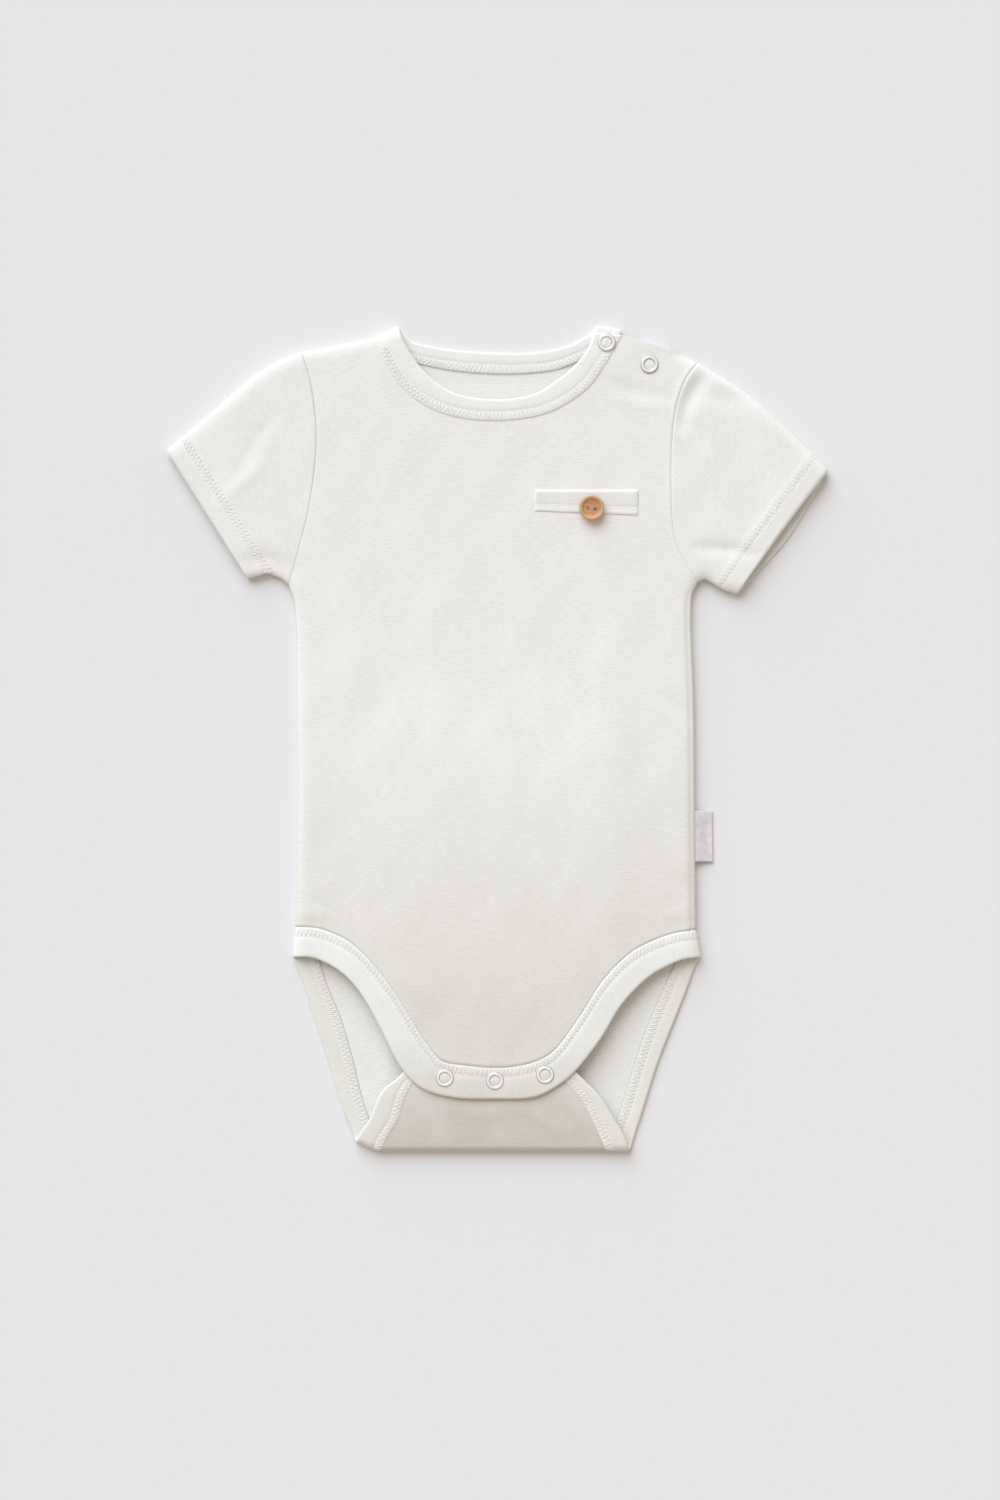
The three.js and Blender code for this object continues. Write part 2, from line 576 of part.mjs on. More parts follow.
const legFrontStations = legFront.seam.map((s, i) => {
  const free = legFront.free[i];
  const fromEnd = Math.min(s.distanceTo(legFront.seam[0]), s.distanceTo(legFront.seam.at(-1)));
  return { seam: s, free, surface: front, thick: thickNear(fromEnd) };
});
add("leg_binding_front", wall(strip(legFrontStations)), COLOURS.trim);

// Back leg binding: down one leg edge, up the tab, across its end and back down the other side.
// Near the fold its stations run level, so that it turns over squarely.
const LEVEL_ABOVE_FOLD = 8;
function backBindingSide(edge, leg, tab, corner) {
  const freeLine = curve([
    ...leg.map((row) => row.free),
    ...tab.map(({ free: [x, y] }) => [x, unfolded(y)]),
    corner,
  ]);
  const seamLine = curve([
    ...leg.map((row) => row.seam),
    ...tab.map(({ seam: [x, y] }) => [x, unfolded(y)]),
    [edge.at(-1).x, edge.at(-1).y],
  ]);
  return edge.map((s) => {
    const distances = seamLine.map((p) => p.distanceTo(s));
    const share = distances.indexOf(Math.min(...distances)) / (seamLine.length - 1);
    const free = freeLine[Math.round(share * (freeLine.length - 1))].clone();
    if (s.y <= FOLD_START_Y + LEVEL_ABOVE_FOLD) free.y = s.y;
    return { seam: s, free };
  });
}
const tabEndY = unfolded(TAB_END_Y);
const CORNER_STEP = { out: 9.5, up: 1 }; // from the tab's corner to its binding's free edge
const cornerRight = [
  TAB_CORNERS.right[0] - CORNER_STEP.out,
  unfolded(TAB_CORNERS.right[1] + CORNER_STEP.up),
];
const cornerLeft = [
  TAB_CORNERS.left[0] + CORNER_STEP.out,
  unfolded(TAB_CORNERS.left[1] + CORNER_STEP.up),
];
const sideRightBinding = backBindingSide(backLegRight, LEG_BACK_RIGHT, TAB_RIGHT, cornerRight);
const sideLeftBinding = backBindingSide(backLegLeft, LEG_BACK_LEFT, TAB_LEFT, cornerLeft);
const endBinding = backEdges.bottom
  .slice(1, -1)
  .map((s) => ({ seam: s, free: new THREE.Vector2(s.x, tabEndY) }));
const backBinding = [...sideRightBinding, ...endBinding, ...reversed(sideLeftBinding)];
const backStations = backBinding.map(({ seam: s, free }) => {
  const fromEnd = Math.min(s.distanceTo(backLegRight[0]), s.distanceTo(backLegLeft[0]));
  const thick = thickNear(fromEnd);
  const flat = 1 - smooth(FOLD_START_Y - s.y, 0, FOLD_LENGTH);
  return { seam: s, free, surface: backUnfolded, thick, lift: onFloorLift(thick) * flat };
});
add("leg_binding_back", wall(strip(backStations)), COLOURS.trim);

// Neck binding: from under the left shoulder's overlap, over its fold, along the back neck,
// over the right shoulder's fold and along the front neck to the left shoulder again
const NECK_FOLD_RADIUS = 0.95;
const NECK_UNDERLAP = 11;
function neckStations() {
  const backLine = { seam: seam.neckBack, free: sample(NECK_BACK_FREE, NECK_STATIONS, true) };
  const frontLine = { seam: seam.neckFront, free: sample(NECK_FRONT_FREE, NECK_STATIONS, true) };
  const foldAt = { seam: backLine.seam.at(-1), free: backLine.free.at(-1) };
  const endThick = BINDING_END;
  const turned = (angle, reach) => ({
    seam: foldAt.seam,
    free: foldAt.free,
    thick: endThick,
    surface: (x, y) => ({
      p: new THREE.Vector3(
        x - reach * 0.25,
        y + NECK_FOLD_RADIUS * Math.sin(angle) - reach,
        endThick / 2 + NECK_FOLD_RADIUS * (1 - Math.cos(angle)),
      ),
      n: new THREE.Vector3(0, Math.sin(angle), -Math.cos(angle)),
    }),
  });
  const underlap = [
    turned(Math.PI, NECK_UNDERLAP),
    turned(Math.PI, NECK_UNDERLAP / 2),
    ...[4, 3, 2, 1].map((i) => turned((Math.PI * i) / 4, 0)),
  ];
  const station = (line, i, side) => {
    const s = line.seam[i];
    const ends = [line.seam[0], side < 0 ? line.seam.at(-1) : line.seam[0]];
    const distance = Math.min(...ends.map((e) => e.distanceTo(s)));
    const thick = thickNear(distance);
    const lift = side < 0 ? onFloorLift(thick) * smooth(s.distanceTo(line.seam[0]), 0, BACK_ROLL) : 0;
    return { seam: s, free: line.free[i], surface: (x, y) => layer(x, y, side), thick, lift };
  };
  const last = NECK_STATIONS - 1;
  return [
    ...underlap,
    ...Array.from({ length: last }, (_, i) => station(backLine, last - i, -1)),
    ...Array.from({ length: last + 1 }, (_, i) => station(frontLine, i, 1)),
  ];
}
add("neck_binding", wall(strip(neckStations())), COLOURS.trim);

// Shoulder underlap: from the back's left shoulder edge, over its fold and under the front
const UNDERLAP = { radius: 1.3, depth: 19, clearNeck: 10, clearArm: 16, columns: 6 };
function underlapRows() {
  const line = curve(SHOULDER_LEFT);
  const length = lengthOf(line) - UNDERLAP.clearNeck - UNDERLAP.clearArm;
  const last = UNDERLAP.columns - 1;
  const distances = Array.from({ length: last + 1 }, (_, i) => UNDERLAP.clearNeck + (length * i) / last);
  const edge = pointsAt(line, distances);
  const along = edge.at(-1).clone().sub(edge[0]).normalize();
  const up = new THREE.Vector2(-along.y, along.x);
  const at = (p, reach, angle) => ({
    p: new THREE.Vector3(
      p.x + up.x * (UNDERLAP.radius * (Math.sin(angle) - 1) - reach),
      p.y + up.y * (UNDERLAP.radius * (Math.sin(angle) - 1) - reach),
      FLOOR_MID + UNDERLAP.radius * (1 - Math.cos(angle)),
    ),
    n: new THREE.Vector3(up.x * Math.sin(angle), up.y * Math.sin(angle), -Math.cos(angle)),
    half: CLOTH / 2,
  });
  const turn = [0, 1, 2, 3, 4].map((i) => (Math.PI * i) / 4);
  return [
    ...turn.map((angle) => edge.map((p) => at(p, 0, angle))),
    ...[0.33, 0.66, 1].map((share) => edge.map((p) => at(p, UNDERLAP.depth * share, Math.PI))),
  ];
}
add("shoulder_underlap", wall(underlapRows()), COLOURS.cloth);

// Pocket tab: a folded strip stitched down on the chest, made from the front's own points
const raised = (surface, x, y, height) => {
  const { p, n } = surface(x, y);
  return { p: p.clone().addScaledVector(n, height), n };
};
const TAB_HEIGHT = CLOTH / 2 + SEAM_GAP + POCKET_TAB.thick / 2;
const TAB_EDGE_SHARE = 0.6; // of its thickness, all round
const TAB_COLUMNS = 9;
const tabRows = [0, 0.12, 0.5, 0.88, 1].map((down) =>
  Array.from({ length: TAB_COLUMNS }, (_, i) => {
    const across = i / (TAB_COLUMNS - 1);
    const x = mix(POCKET_TAB.left, POCKET_TAB.right, across);
    const y = mix(POCKET_TAB.top, mix(POCKET_TAB.bottomLeft, POCKET_TAB.bottomRight, across), down);
    const edge = down === 0 || down === 1 || across === 0 || across === 1;
    const share = edge ? TAB_EDGE_SHARE : 1;
    return { ...raised(front, x, y, TAB_HEIGHT), half: (POCKET_TAB.thick / 2) * share };
  }),
);
add("pocket_tab", wall(tabRows), COLOURS.cloth);

// Side label: a woven loop caught in the left side seam, drooping to the table
const labelRows = [0, 0.5, 1].map((down) => {
  const y = mix(LABEL.top, LABEL.bottom, down);
  const edgeX = curve(SIDE_LEFT).find((p) => p.y <= y).x + CLOTH / 2 + SEAM_GAP;
  return [0, 0.3, 0.65, 1].map((out) => {
    const z = mix(SEAM_MID, LABEL.tipMid, smooth(out, 0, 0.9));
    return {
      p: new THREE.Vector3(edgeX + LABEL.reach * out, y, z),
      n: new THREE.Vector3(0, 0, 1),
      half: LABEL.thick / 2,
    };
  });
});
add("side_label", wall(labelRows), COLOURS.label, 0.7);

// Turned shapes stand on the table: a profile of [radius, height] points spun round +Z
function turnedShape(profile, sides) {
  const geometry = new THREE.LatheGeometry(profile.map(v2), sides);
  return geometry.rotateX(Math.PI / 2);
}

// Snaps: an open ring on the outside and the fastened socket between the layers
const ringProfile = [
  [RING.inner, 0],
  [RING.outer, 0],
  [RING.outer, RING.height * 0.4],
  [(RING.inner + RING.outer) / 2 + 0.3, RING.height],
  [(RING.inner + RING.outer) / 2 - 0.3, RING.height],
  [RING.inner, RING.height * 0.4],
  [RING.inner, 0],
];
const socketProfile = [
  [0, -SOCKET.height / 2],
  [SOCKET.radius, -SOCKET.height / 2],
  [SOCKET.radius, SOCKET.height / 2],
  [0, SOCKET.height / 2],
];
for (const { name, at, socket } of SNAPS) {
  const under = name === "shoulder" ? CLOTH : BINDING;
  const { p } = front(at[0], at[1]);
  const ring = add(`snap_ring_${name}`, turnedShape(ringProfile, 20), COLOURS.snap, 0.35);
  ring.position.set(at[0], at[1], p.z + under / 2 + SEAM_GAP);
  const disc = add(`snap_socket_${name}`, turnedShape(socketProfile, 16), COLOURS.snap, 0.35);
  disc.position.set(at[0], at[1], socket);
}

// Button: a turned wooden disc with a raised rim and two thread holes
const wasm = await Module();
wasm.setup();

function solidOf(geometry) {
  const bare = geometry.clone().deleteAttribute("normal").deleteAttribute("uv");
  const merged = mergeVertices(bare, 1e-4);
  return new wasm.Manifold(
    new wasm.Mesh({
      numProp: 3,
      vertProperties: merged.attributes.position.array,
      triVerts: new Uint32Array(merged.index.array),
    }),
  );
}

function geometryOf(solid) {
  const { vertProperties, triVerts } = solid.getMesh();
  const geometry = new THREE.BufferGeometry();
  geometry.setAttribute("position", new THREE.BufferAttribute(vertProperties, 3));
  geometry.setIndex(new THREE.BufferAttribute(triVerts, 1));
  geometry.computeVertexNormals();
  return geometry;
}

const buttonProfile = [
  [0, 0],
  [BUTTON.radius - 0.9, 0],
  [BUTTON.radius, 0.9],
  [BUTTON.radius, 1.5],
  [BUTTON.radius - 0.5, BUTTON.rim],
  [BUTTON.radius - 1.4, BUTTON.rim],
  [BUTTON.radius - 2.2, BUTTON.dish],
  [0, BUTTON.dish],
];
const THREAD_HOLES = [[-2.1, 0.25], [1.8, -0.5]];
let buttonSolid = solidOf(turnedShape(buttonProfile, 28));
for (const [x, y] of THREAD_HOLES) {
  const hole = new THREE.CylinderGeometry(BUTTON.hole, BUTTON.hole, 4 * BUTTON.rim, 10);
  hole.rotateX(Math.PI / 2).translate(x, y, 0);
  buttonSolid = buttonSolid.subtract(solidOf(hole));
}
const BUTTON_AT = [48.9, 119.3];
const BUTTON_CLEAR = 0.4; // above the tab, which rounds a little under it
const buttonHeight = TAB_HEIGHT + POCKET_TAB.thick / 2 + BUTTON_CLEAR;
const buttonSeat = raised(front, BUTTON_AT[0], BUTTON_AT[1], buttonHeight).p;
add("button", geometryOf(buttonSolid), COLOURS.wood, 0.55).position.copy(buttonSeat);

export default onesie;
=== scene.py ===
import math

import bpy
import numpy as np
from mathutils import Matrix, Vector


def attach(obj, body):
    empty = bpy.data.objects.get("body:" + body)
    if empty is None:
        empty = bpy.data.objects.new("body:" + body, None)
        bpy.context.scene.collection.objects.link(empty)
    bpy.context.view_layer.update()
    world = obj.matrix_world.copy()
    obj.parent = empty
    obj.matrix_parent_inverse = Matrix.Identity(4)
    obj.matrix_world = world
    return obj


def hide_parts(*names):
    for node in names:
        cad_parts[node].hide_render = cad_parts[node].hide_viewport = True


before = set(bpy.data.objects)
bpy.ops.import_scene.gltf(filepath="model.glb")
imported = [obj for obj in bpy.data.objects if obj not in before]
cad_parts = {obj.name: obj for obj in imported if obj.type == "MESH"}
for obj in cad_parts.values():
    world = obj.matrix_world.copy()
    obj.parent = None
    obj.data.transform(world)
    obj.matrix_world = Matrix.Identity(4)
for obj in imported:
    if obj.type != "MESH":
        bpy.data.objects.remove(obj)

bpy.ops.object.select_all(action="DESELECT")
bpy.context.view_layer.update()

# The table and the light. The garment lies on a smooth pale table, seen straight from above. One
# broad window from the upper left is a little cool, and the warm room fills the shadows.
PIXEL = 0.00052          # metres on the garment for each pixel of the frame
FRAME_HEIGHT = 1500      # of the frame, in pixels
FRAME_MIDDLE = (2.5, -12)  # in pixels from the middle of the garment's footprint
SENSOR = 36
CAMERA_HEIGHT = 1.5      # over the garment's front
FRONT_HEIGHT = 0.005     # of that front over the table
camera = bpy.data.objects.new("camera", bpy.data.cameras.new("camera"))
camera.data.sensor_width = SENSOR
camera.data.lens = SENSOR * CAMERA_HEIGHT / (FRAME_HEIGHT * PIXEL)
camera.location = (FRAME_MIDDLE[0] * PIXEL, FRAME_MIDDLE[1] * PIXEL, CAMERA_HEIGHT + FRONT_HEIGHT)
bpy.context.collection.objects.link(camera)
bpy.context.scene.camera = camera
bpy.context.scene.view_settings.view_transform = "Standard"

BRIGHTNESS = 1.0                        # of a white card lying on the table
ROOM_SHARE = (0.52, 0.465, 0.41)        # of that light, in red, green and blue
WINDOW_ELEVATION = math.radians(34)
WINDOW_FROM = (-0.42, 0.91)             # the direction in plan that the window lies in
WINDOW_WIDTH = math.radians(58)

window = bpy.data.objects.new("window", bpy.data.lights.new("window", "SUN"))
window_share = [1 - share for share in ROOM_SHARE]
window.data.color = [share / max(window_share) for share in window_share]
window.data.energy = math.pi * BRIGHTNESS * max(window_share) / math.sin(WINDOW_ELEVATION)
window.data.angle = WINDOW_WIDTH
flat_run = math.cos(WINDOW_ELEVATION)
ray = Vector((-WINDOW_FROM[0] * flat_run, -WINDOW_FROM[1] * flat_run, -math.sin(WINDOW_ELEVATION)))
window.rotation_mode = "QUATERNION"
window.rotation_quaternion = ray.to_track_quat("-Z", "Y")
bpy.context.collection.objects.link(window)

room = bpy.data.worlds.new("room")
room.use_nodes = True
fill = room.node_tree.nodes["Background"]
fill.inputs["Color"].default_value = (*ROOM_SHARE, 1)
fill.inputs["Strength"].default_value = BRIGHTNESS
bpy.context.scene.world = room

TABLE_SIZE = 6
TABLE_CLEARANCE = 0.0001
bpy.ops.mesh.primitive_plane_add(size=TABLE_SIZE, location=(0, 0, -TABLE_CLEARANCE))
table = bpy.context.object
table.name = "table"
board = bpy.data.materials.new("painted board")
board.use_nodes = True
paint = board.node_tree.nodes["Principled BSDF"]
paint.inputs["Base Color"].default_value = (0.8, 0.8, 0.8, 1)
paint.inputs["Roughness"].default_value = 1
paint.inputs["Specular IOR Level"].default_value = 0
table.data.materials.append(board)

# Front panel: one cut piece of white cotton interlock, from the shoulders to the crotch. It lies
# over the back, rounds down to it at its sides, and has soft folds from wear and washing.
MM = 0.001
CLOTH = 1.0
TOP_MID = 5.2            # mid-height of the front over the chest
CROTCH_LIFT = 3.3        # the front crotch lies on the folded tab
BELLY_RISE = 1.3         # and the front is fuller still above it
SHOULDER_LIFT = 0.4      # the front's snap shoulder lies on the underlap
LEFT_CUFF_LIFT = 0.4
RIGHT_CUFF_DROP = 0.6
SEAM_APART = 0.15        # between the front and the line where the cloth turns over
FLOOR_MID = CLOTH / 2    # mid-height of the layer on the table
SEAM_MID = (FLOOR_MID + TOP_MID) / 2
FRONT_ROLL = 6.0         # how far in from an edge the front still rounds over
BACK_ROLL = 2.4
CLOSE = (0, 0.2, 0.5, 0.9, 1.4, 2.0, 2.8, 4.0, 5.6)  # spacing near an edge that rounds over

SHOULDER_RIGHT = [(-63.2, 208.5), (-80.9, 204.4), (-101.7, 200.7)]
SHOULDER_LEFT = [(64.7, 209.4), (81.9, 204.4), (103.7, 195.0)]
SHOULDER_LEFT_SEWN = (94.6, 199.1)
SLEEVE_TOP_RIGHT = [(-101.7, 200.7), (-112.6, 196.6), (-125.6, 188.8), (-143.3, 173.7), (-172.0, 148.9)]
SLEEVE_TOP_LEFT = [(103.7, 195.0), (115.7, 187.7), (131.3, 177.3), (157.3, 153.9), (172.0, 138.8)]
UNDERARM_RIGHT = [(-108.4, 80.1), (-113.1, 83.7), (-119.3, 85.8), (-124.5, 84.8), (-130.3, 83.2)]
UNDERARM_LEFT = [(103.7, 81.1), (107.3, 82.9), (111.5, 81.1), (117.8, 77.5), (125.1, 75.4)]
SIDE_RIGHT = [
    (-108.4, 80.1), (-105.6, 71.8), (-104.3, 58.8), (-103.7, 19.8), (-103.3, -32.2), (-104.8, -98.3),
]
SIDE_LEFT = [(103.7, 81.1), (100.9, 74.9), (100.2, 64.0), (101.6, 19.8), (102.1, -32.2), (102.7, -99.8)]
ARMHOLE_RIGHT = [
    (-101.7, 200.7), (-97.0, 185.1), (-94.0, 156.0), (-97.6, 122.0), (-103.2, 98.8), (-108.4, 80.1),
]
ARMHOLE_LEFT = [(103.7, 195.0), (97.5, 186.2), (92.4, 170.0), (90.2, 135.0), (93.0, 101.0), (103.7, 81.1)]
NECK_FRONT_SEAM = [
    (-63.2, 208.5), (-59.3, 197.0), (-50.2, 183.0), (-39.8, 174.2), (-25.0, 167.7), (-1.0, 164.9),
    (23.1, 168.0), (36.7, 174.2), (48.1, 183.0), (57.5, 196.4), (64.7, 209.4),
]
LEG_FRONT_SEAM = [
    (-104.8, -98.3), (-94.9, -98.8), (-86.1, -101.4), (-76.7, -106.1), (-67.9, -113.9), (-54.5, -130.5),
    (-43.9, -147.7), (-36.1, -159.6), (-28.9, -167.6), (-15.3, -170.2), (-1.3, -171.4), (12.7, -170.0),
    (23.6, -166.4), (30.4, -161.3), (43.4, -143.5), (54.5, -126.2), (68.9, -111.8), (79.3, -106.1),
    (90.7, -101.9), (102.7, -99.8),
]
NECK_FOLD_FREE = (-51.2, 213.6)          # free edge of the neck band where it folds over
LEG_CORNER_RIGHT = (-106.3, -113.9)      # free corners of the leg bands
LEG_CORNER_LEFT = (105.3, -113.9)

# Soft folds: a line in plan, how wide it is and how far it stands up (+) or sinks (-)
FOLDS = [
    {"path": [(61, 64), (60, 0), (63, -88)], "width": 15, "rise": 0.6},
    {"path": [(5, 2), (3, -40), (5, -86)], "width": 12, "rise": 0.42},
    {"path": [(-32, 66), (-29, 4), (-33, -60)], "width": 14, "rise": 0.5},
    {"path": [(-76, 66), (-74, 40), (-75, 14)], "width": 12, "rise": 0.6},
    {"path": [(84, 22), (94, 15), (101, 7)], "width": 4, "rise": -0.4},
    {"path": [(90, -72), (97, -77), (102, -83)], "width": 4, "rise": -0.4},
    {"path": [(-103, -91), (-96, -91), (-88, -93)], "width": 5, "rise": 0.4},
    {"path": [(86, -93), (93, -91), (100, -91)], "width": 5, "rise": 0.4},
    {"path": [(-52, -122), (-45, -128), (-39, -136)], "width": 7, "rise": 0.5},
    {"path": [(96, 164), (100, 177), (109, 190)], "width": 6, "rise": -1.3},
    {"path": [(90, 158), (94, 176), (102, 192)], "width": 4.5, "rise": 0.45},
    {"path": [(102, 180), (114, 178), (130, 176)], "width": 7, "rise": -0.5},
    {"path": [(98, 164), (103, 160), (107, 152)], "width": 5, "rise": -0.5},
    {"path": [(104, 99), (118, 98), (134, 95)], "width": 5, "rise": -0.9},
    {"path": [(-116, 168), (-126, 154), (-134, 138)], "width": 6, "rise": -0.5},
    {"path": [(-122, 142), (-132, 133), (-143, 122)], "width": 6, "rise": 0.4},
    {"path": [(-131, 90), (-120, 92), (-108, 87)], "width": 8, "rise": -1.2},
    {"path": [(54, 186), (70, 181), (88, 177)], "width": 5, "rise": -0.4},
    {"path": [(62, 176), (74, 173), (84, 172)], "width": 4, "rise": 0.25},
]
SNAPS = {
    "neck": (56.7, 205.4),
    "shoulder": (79.0, 194.2),
    "crotch_right": (-27.3, -176.3),
    "crotch_middle": (-1.3, -177.8),
    "crotch_left": (24.7, -174.7),
}


def smooth(value, low, high):
    share = np.clip((value - low) / (high - low), 0, 1)
    return share * share * (3 - 2 * share)


def curve(points, steps=12):
    """A smooth line in plan through a few points."""
    points = np.array(points, float)
    points = np.vstack([2 * points[0] - points[1], points, 2 * points[-1] - points[-2]])
    t = np.linspace(0, 1, steps, endpoint=False)[:, None]
    spans = []
    for a, b, c, d in zip(points, points[1:], points[2:], points[3:]):
        before, here, after = (np.linalg.norm(q - p) ** 0.5 for p, q in ((a, b), (b, c), (c, d)))
        into = ((b - a) / before - (c - a) / (before + here) + (c - b) / here) * here
        away = ((c - b) / here - (d - b) / (here + after) + (d - c) / after) * here
        bend, twist = 3 * (c - b) - 2 * into - away, 2 * (b - c) + into + away
        spans.append(b + into * t + bend * t**2 + twist * t**3)
    return np.vstack([*spans, points[-2:-1]])


def run_of(line):
    """Distance along a line at each of its points."""
    return np.concatenate([[0], np.cumsum(np.linalg.norm(np.diff(line, axis=0), axis=1))])


def points_at(line, distances):
    along = run_of(line)
    return np.stack([np.interp(distances, along, line[:, k]) for k in range(line.shape[1])], -1)


def walk(points, count, close_start=False, close_end=False):
    """Points along a smooth line, close together at an end that rounds over."""
    line = curve(points)
    length = run_of(line)[-1]
    start = np.array(CLOSE if close_start else (0,))
    end = length - np.array(CLOSE if close_end else (0,))[::-1]
    middle = np.linspace(start[-1], end[0], count - len(start) - len(end) + 2)[1:-1]
    return points_at(line, np.concatenate([start, middle, end]))


def joined(*lines):
    return np.vstack([lines[0], *(line[1:] for line in lines[1:])])


def steps_of(*lines):
    """The steps of several lines: where each starts, how it runs, and its share of its line."""
    starts = np.vstack([line[:-1] for line in lines])
    runs = np.vstack([np.diff(line, axis=0) for line in lines])
    shares = np.concatenate([run_of(line)[:-1] / run_of(line)[-1] for line in lines])
    lengths = np.concatenate([np.full(len(line) - 1, run_of(line)[-1]) for line in lines])
    return starts, runs, shares, lengths


def nearest(steps, plan):
    """Distance to the nearest step, the offset from it, its run and how far along its line it is."""
    starts, runs, shares, lengths = steps
    square = (runs**2).sum(1)
    flat = plan.reshape(-1, 2)
    found = []
    for part in np.array_split(flat, max(1, len(flat) // 3000)):
        apart = part[:, None] - starts
        share = np.clip((apart * runs).sum(2) / square, 0, 1)
        offset = apart - share[..., None] * runs
        best = (offset**2).sum(2).argmin(1)
        row = np.arange(len(part))
        along = shares[best] + share[row, best] * np.sqrt(square[best]) / lengths[best]
        found.append(np.column_stack([offset[row, best], runs[best], along]))
    found = np.vstack(found).reshape(*plan.shape[:-1], 5)
    return np.hypot(found[..., 0], found[..., 1]), found[..., :2], found[..., 2:4], found[..., 4]


# Where the cloth turns over from the front to the back
TURNED = steps_of(
    joined(np.array([NECK_FOLD_FREE, SHOULDER_RIGHT[0]]), curve(SHOULDER_RIGHT), curve(SLEEVE_TOP_RIGHT)),
    joined(curve(UNDERARM_RIGHT)[::-1], curve(SIDE_RIGHT), np.array([SIDE_RIGHT[-1], LEG_CORNER_RIGHT])),
    joined(np.array([SHOULDER_LEFT_SEWN, SLEEVE_TOP_LEFT[0]]), curve(SLEEVE_TOP_LEFT)),
    joined(curve(UNDERARM_LEFT)[::-1], curve(SIDE_LEFT), np.array([SIDE_LEFT[-1], LEG_CORNER_LEFT])),
)
CHEST = np.array([0.0, 60.0])

# Shallow waves that washed jersey keeps all over, mostly running from the neck to the crotch
chance = np.random.default_rng(11)
WAVES = [
    {
        "across": chance.normal(0, 0.45),
        "length": chance.uniform(16, 52),
        "start": chance.uniform(0, 2 * math.pi),
        "rise": chance.uniform(0.02, 0.055),
    }
    for _ in range(16)
]


def waves(plan):
    total = np.zeros(plan.shape[:-1])
    for wave in WAVES:
        turned = plan[..., 0] * math.cos(wave["across"]) + plan[..., 1] * math.sin(wave["across"])
        total += wave["rise"] * np.sin(2 * math.pi * turned / wave["length"] + wave["start"])
    return total


def folds(plan, table_of_folds):
    total = np.zeros(plan.shape[:-1])
    for fold in table_of_folds:
        distance, _, _, along = nearest(steps_of(curve(fold["path"], 8)), plan)
        fade = 0.35 + 0.65 * np.sin(math.pi * np.clip(along, 0.02, 0.98)) ** 0.6
        total += fold["rise"] * fade * np.exp(-2 * (distance / fold["width"]) ** 2)
    return total


def round_snaps(plan):
    """The cloth domes inside a snap's ring and is pulled down round it."""
    total = np.zeros(plan.shape[:-1])
    for place in SNAPS.values():
        distance = np.linalg.norm(plan - np.array(place), axis=-1)
        total += 0.25 * np.clip(1 - (distance / 2.8) ** 2, 0, 1)
        total -= 0.22 * np.exp(-(((distance - 5.2) / 2.2) ** 2))
    return total


def front_height(plan):
    """Mid-height of the front away from its edges."""
    x, y = plan[..., 0], plan[..., 1]
    belly = BELLY_RISE * smooth(-y, -60, 108) * (1 - smooth(-y, 112, 168))
    full = (CROTCH_LIFT * smooth(-y, -60, 112) + belly) * (1 - 0.75 * smooth(np.abs(x), 40, 100))
    shoulder = SHOULDER_LIFT * smooth(x, 40, 60) * (1 - smooth(x, 85, 100)) * smooth(y, 175, 195)
    cuff = np.where(x > 0, LEFT_CUFF_LIFT * smooth(x, 125, 150), -RIGHT_CUFF_DROP * smooth(-x, 125, 155))
    return TOP_MID + full + shoulder + cuff + folds(plan, FOLDS) + waves(plan) + round_snaps(plan)


def layer(plan, side, seam=SEAM_APART):
    """Middle and outward normal of the front (side 1) or the back (side -1), which meet where the
    cloth turns over, each half a seam away from the line between them."""
    distance, offset, run, _ = nearest(TURNED, plan)
    square_on = np.stack([-run[..., 1], run[..., 0]], -1)
    square_on *= np.sign((square_on * (CHEST - plan)).sum(-1))[..., None]
    inward = np.where(distance[..., None] < 0.05, square_on, offset)
    inward = inward / np.linalg.norm(inward, axis=-1)[..., None]
    roll = FRONT_ROLL if side > 0 else BACK_ROLL
    angle = np.arccos(1 - np.minimum(distance / roll, 1))
    reach = front_height(plan) - SEAM_MID if side > 0 else SEAM_MID - FLOOR_MID
    z = SEAM_MID + side * (reach * np.sin(angle) + seam * (1 - np.sin(angle)))
    tilt = (reach * np.cos(angle))[..., None]
    normal = np.concatenate([-inward * tilt, (side * roll * np.sin(angle))[..., None]], -1)
    normal /= np.linalg.norm(normal, axis=-1)[..., None]
    return np.concatenate([plan, z[..., None]], -1), normal


def filled(top, right, bottom, left, fade=lambda v: v, spread=lambda v: v):
    """Rows of plan points between four edges."""
    share_top, share_bottom = (run_of(edge) / run_of(edge)[-1] for edge in (top, bottom))
    down = (run_of(left) / run_of(left)[-1] + run_of(right) / run_of(right)[-1]) / 2
    bow_top = top - (top[0] + (top[-1] - top[0]) * share_top[:, None])
    bow_bottom = bottom - (bottom[0] + (bottom[-1] - bottom[0]) * share_bottom[:, None])
    across = share_top + (share_bottom - share_top) * spread(down)[:, None]
    keep = fade(down)[:, None, None]
    straight = left[:, None] + (right - left)[:, None] * across[..., None]
    return straight + bow_top * (1 - keep) + bow_bottom * keep


def rounded(distance, radius):
    """Share of the full thickness at a distance from a rounded edge."""
    short = np.clip(1 - distance / radius, 0, 1)
    return np.sqrt(np.maximum(1 - short**2, 0.05))


def wall_faces(grid, shift, closed):
    """Faces of both skins of a grid and of the rim between them."""
    outer = np.stack([grid[:-1, :-1], grid[:-1, 1:], grid[1:, 1:], grid[1:, :-1]], -1).reshape(-1, 4)
    ends = [grid[0], grid[-1][::-1]]
    if not closed:
        ends += [grid[:, -1], grid[::-1, 0]]
    rims = [np.stack([e[1:], e[:-1], e[:-1] + shift, e[1:] + shift], -1) for e in ends]
    return np.concatenate([outer, outer[:, ::-1] + shift, *rims])


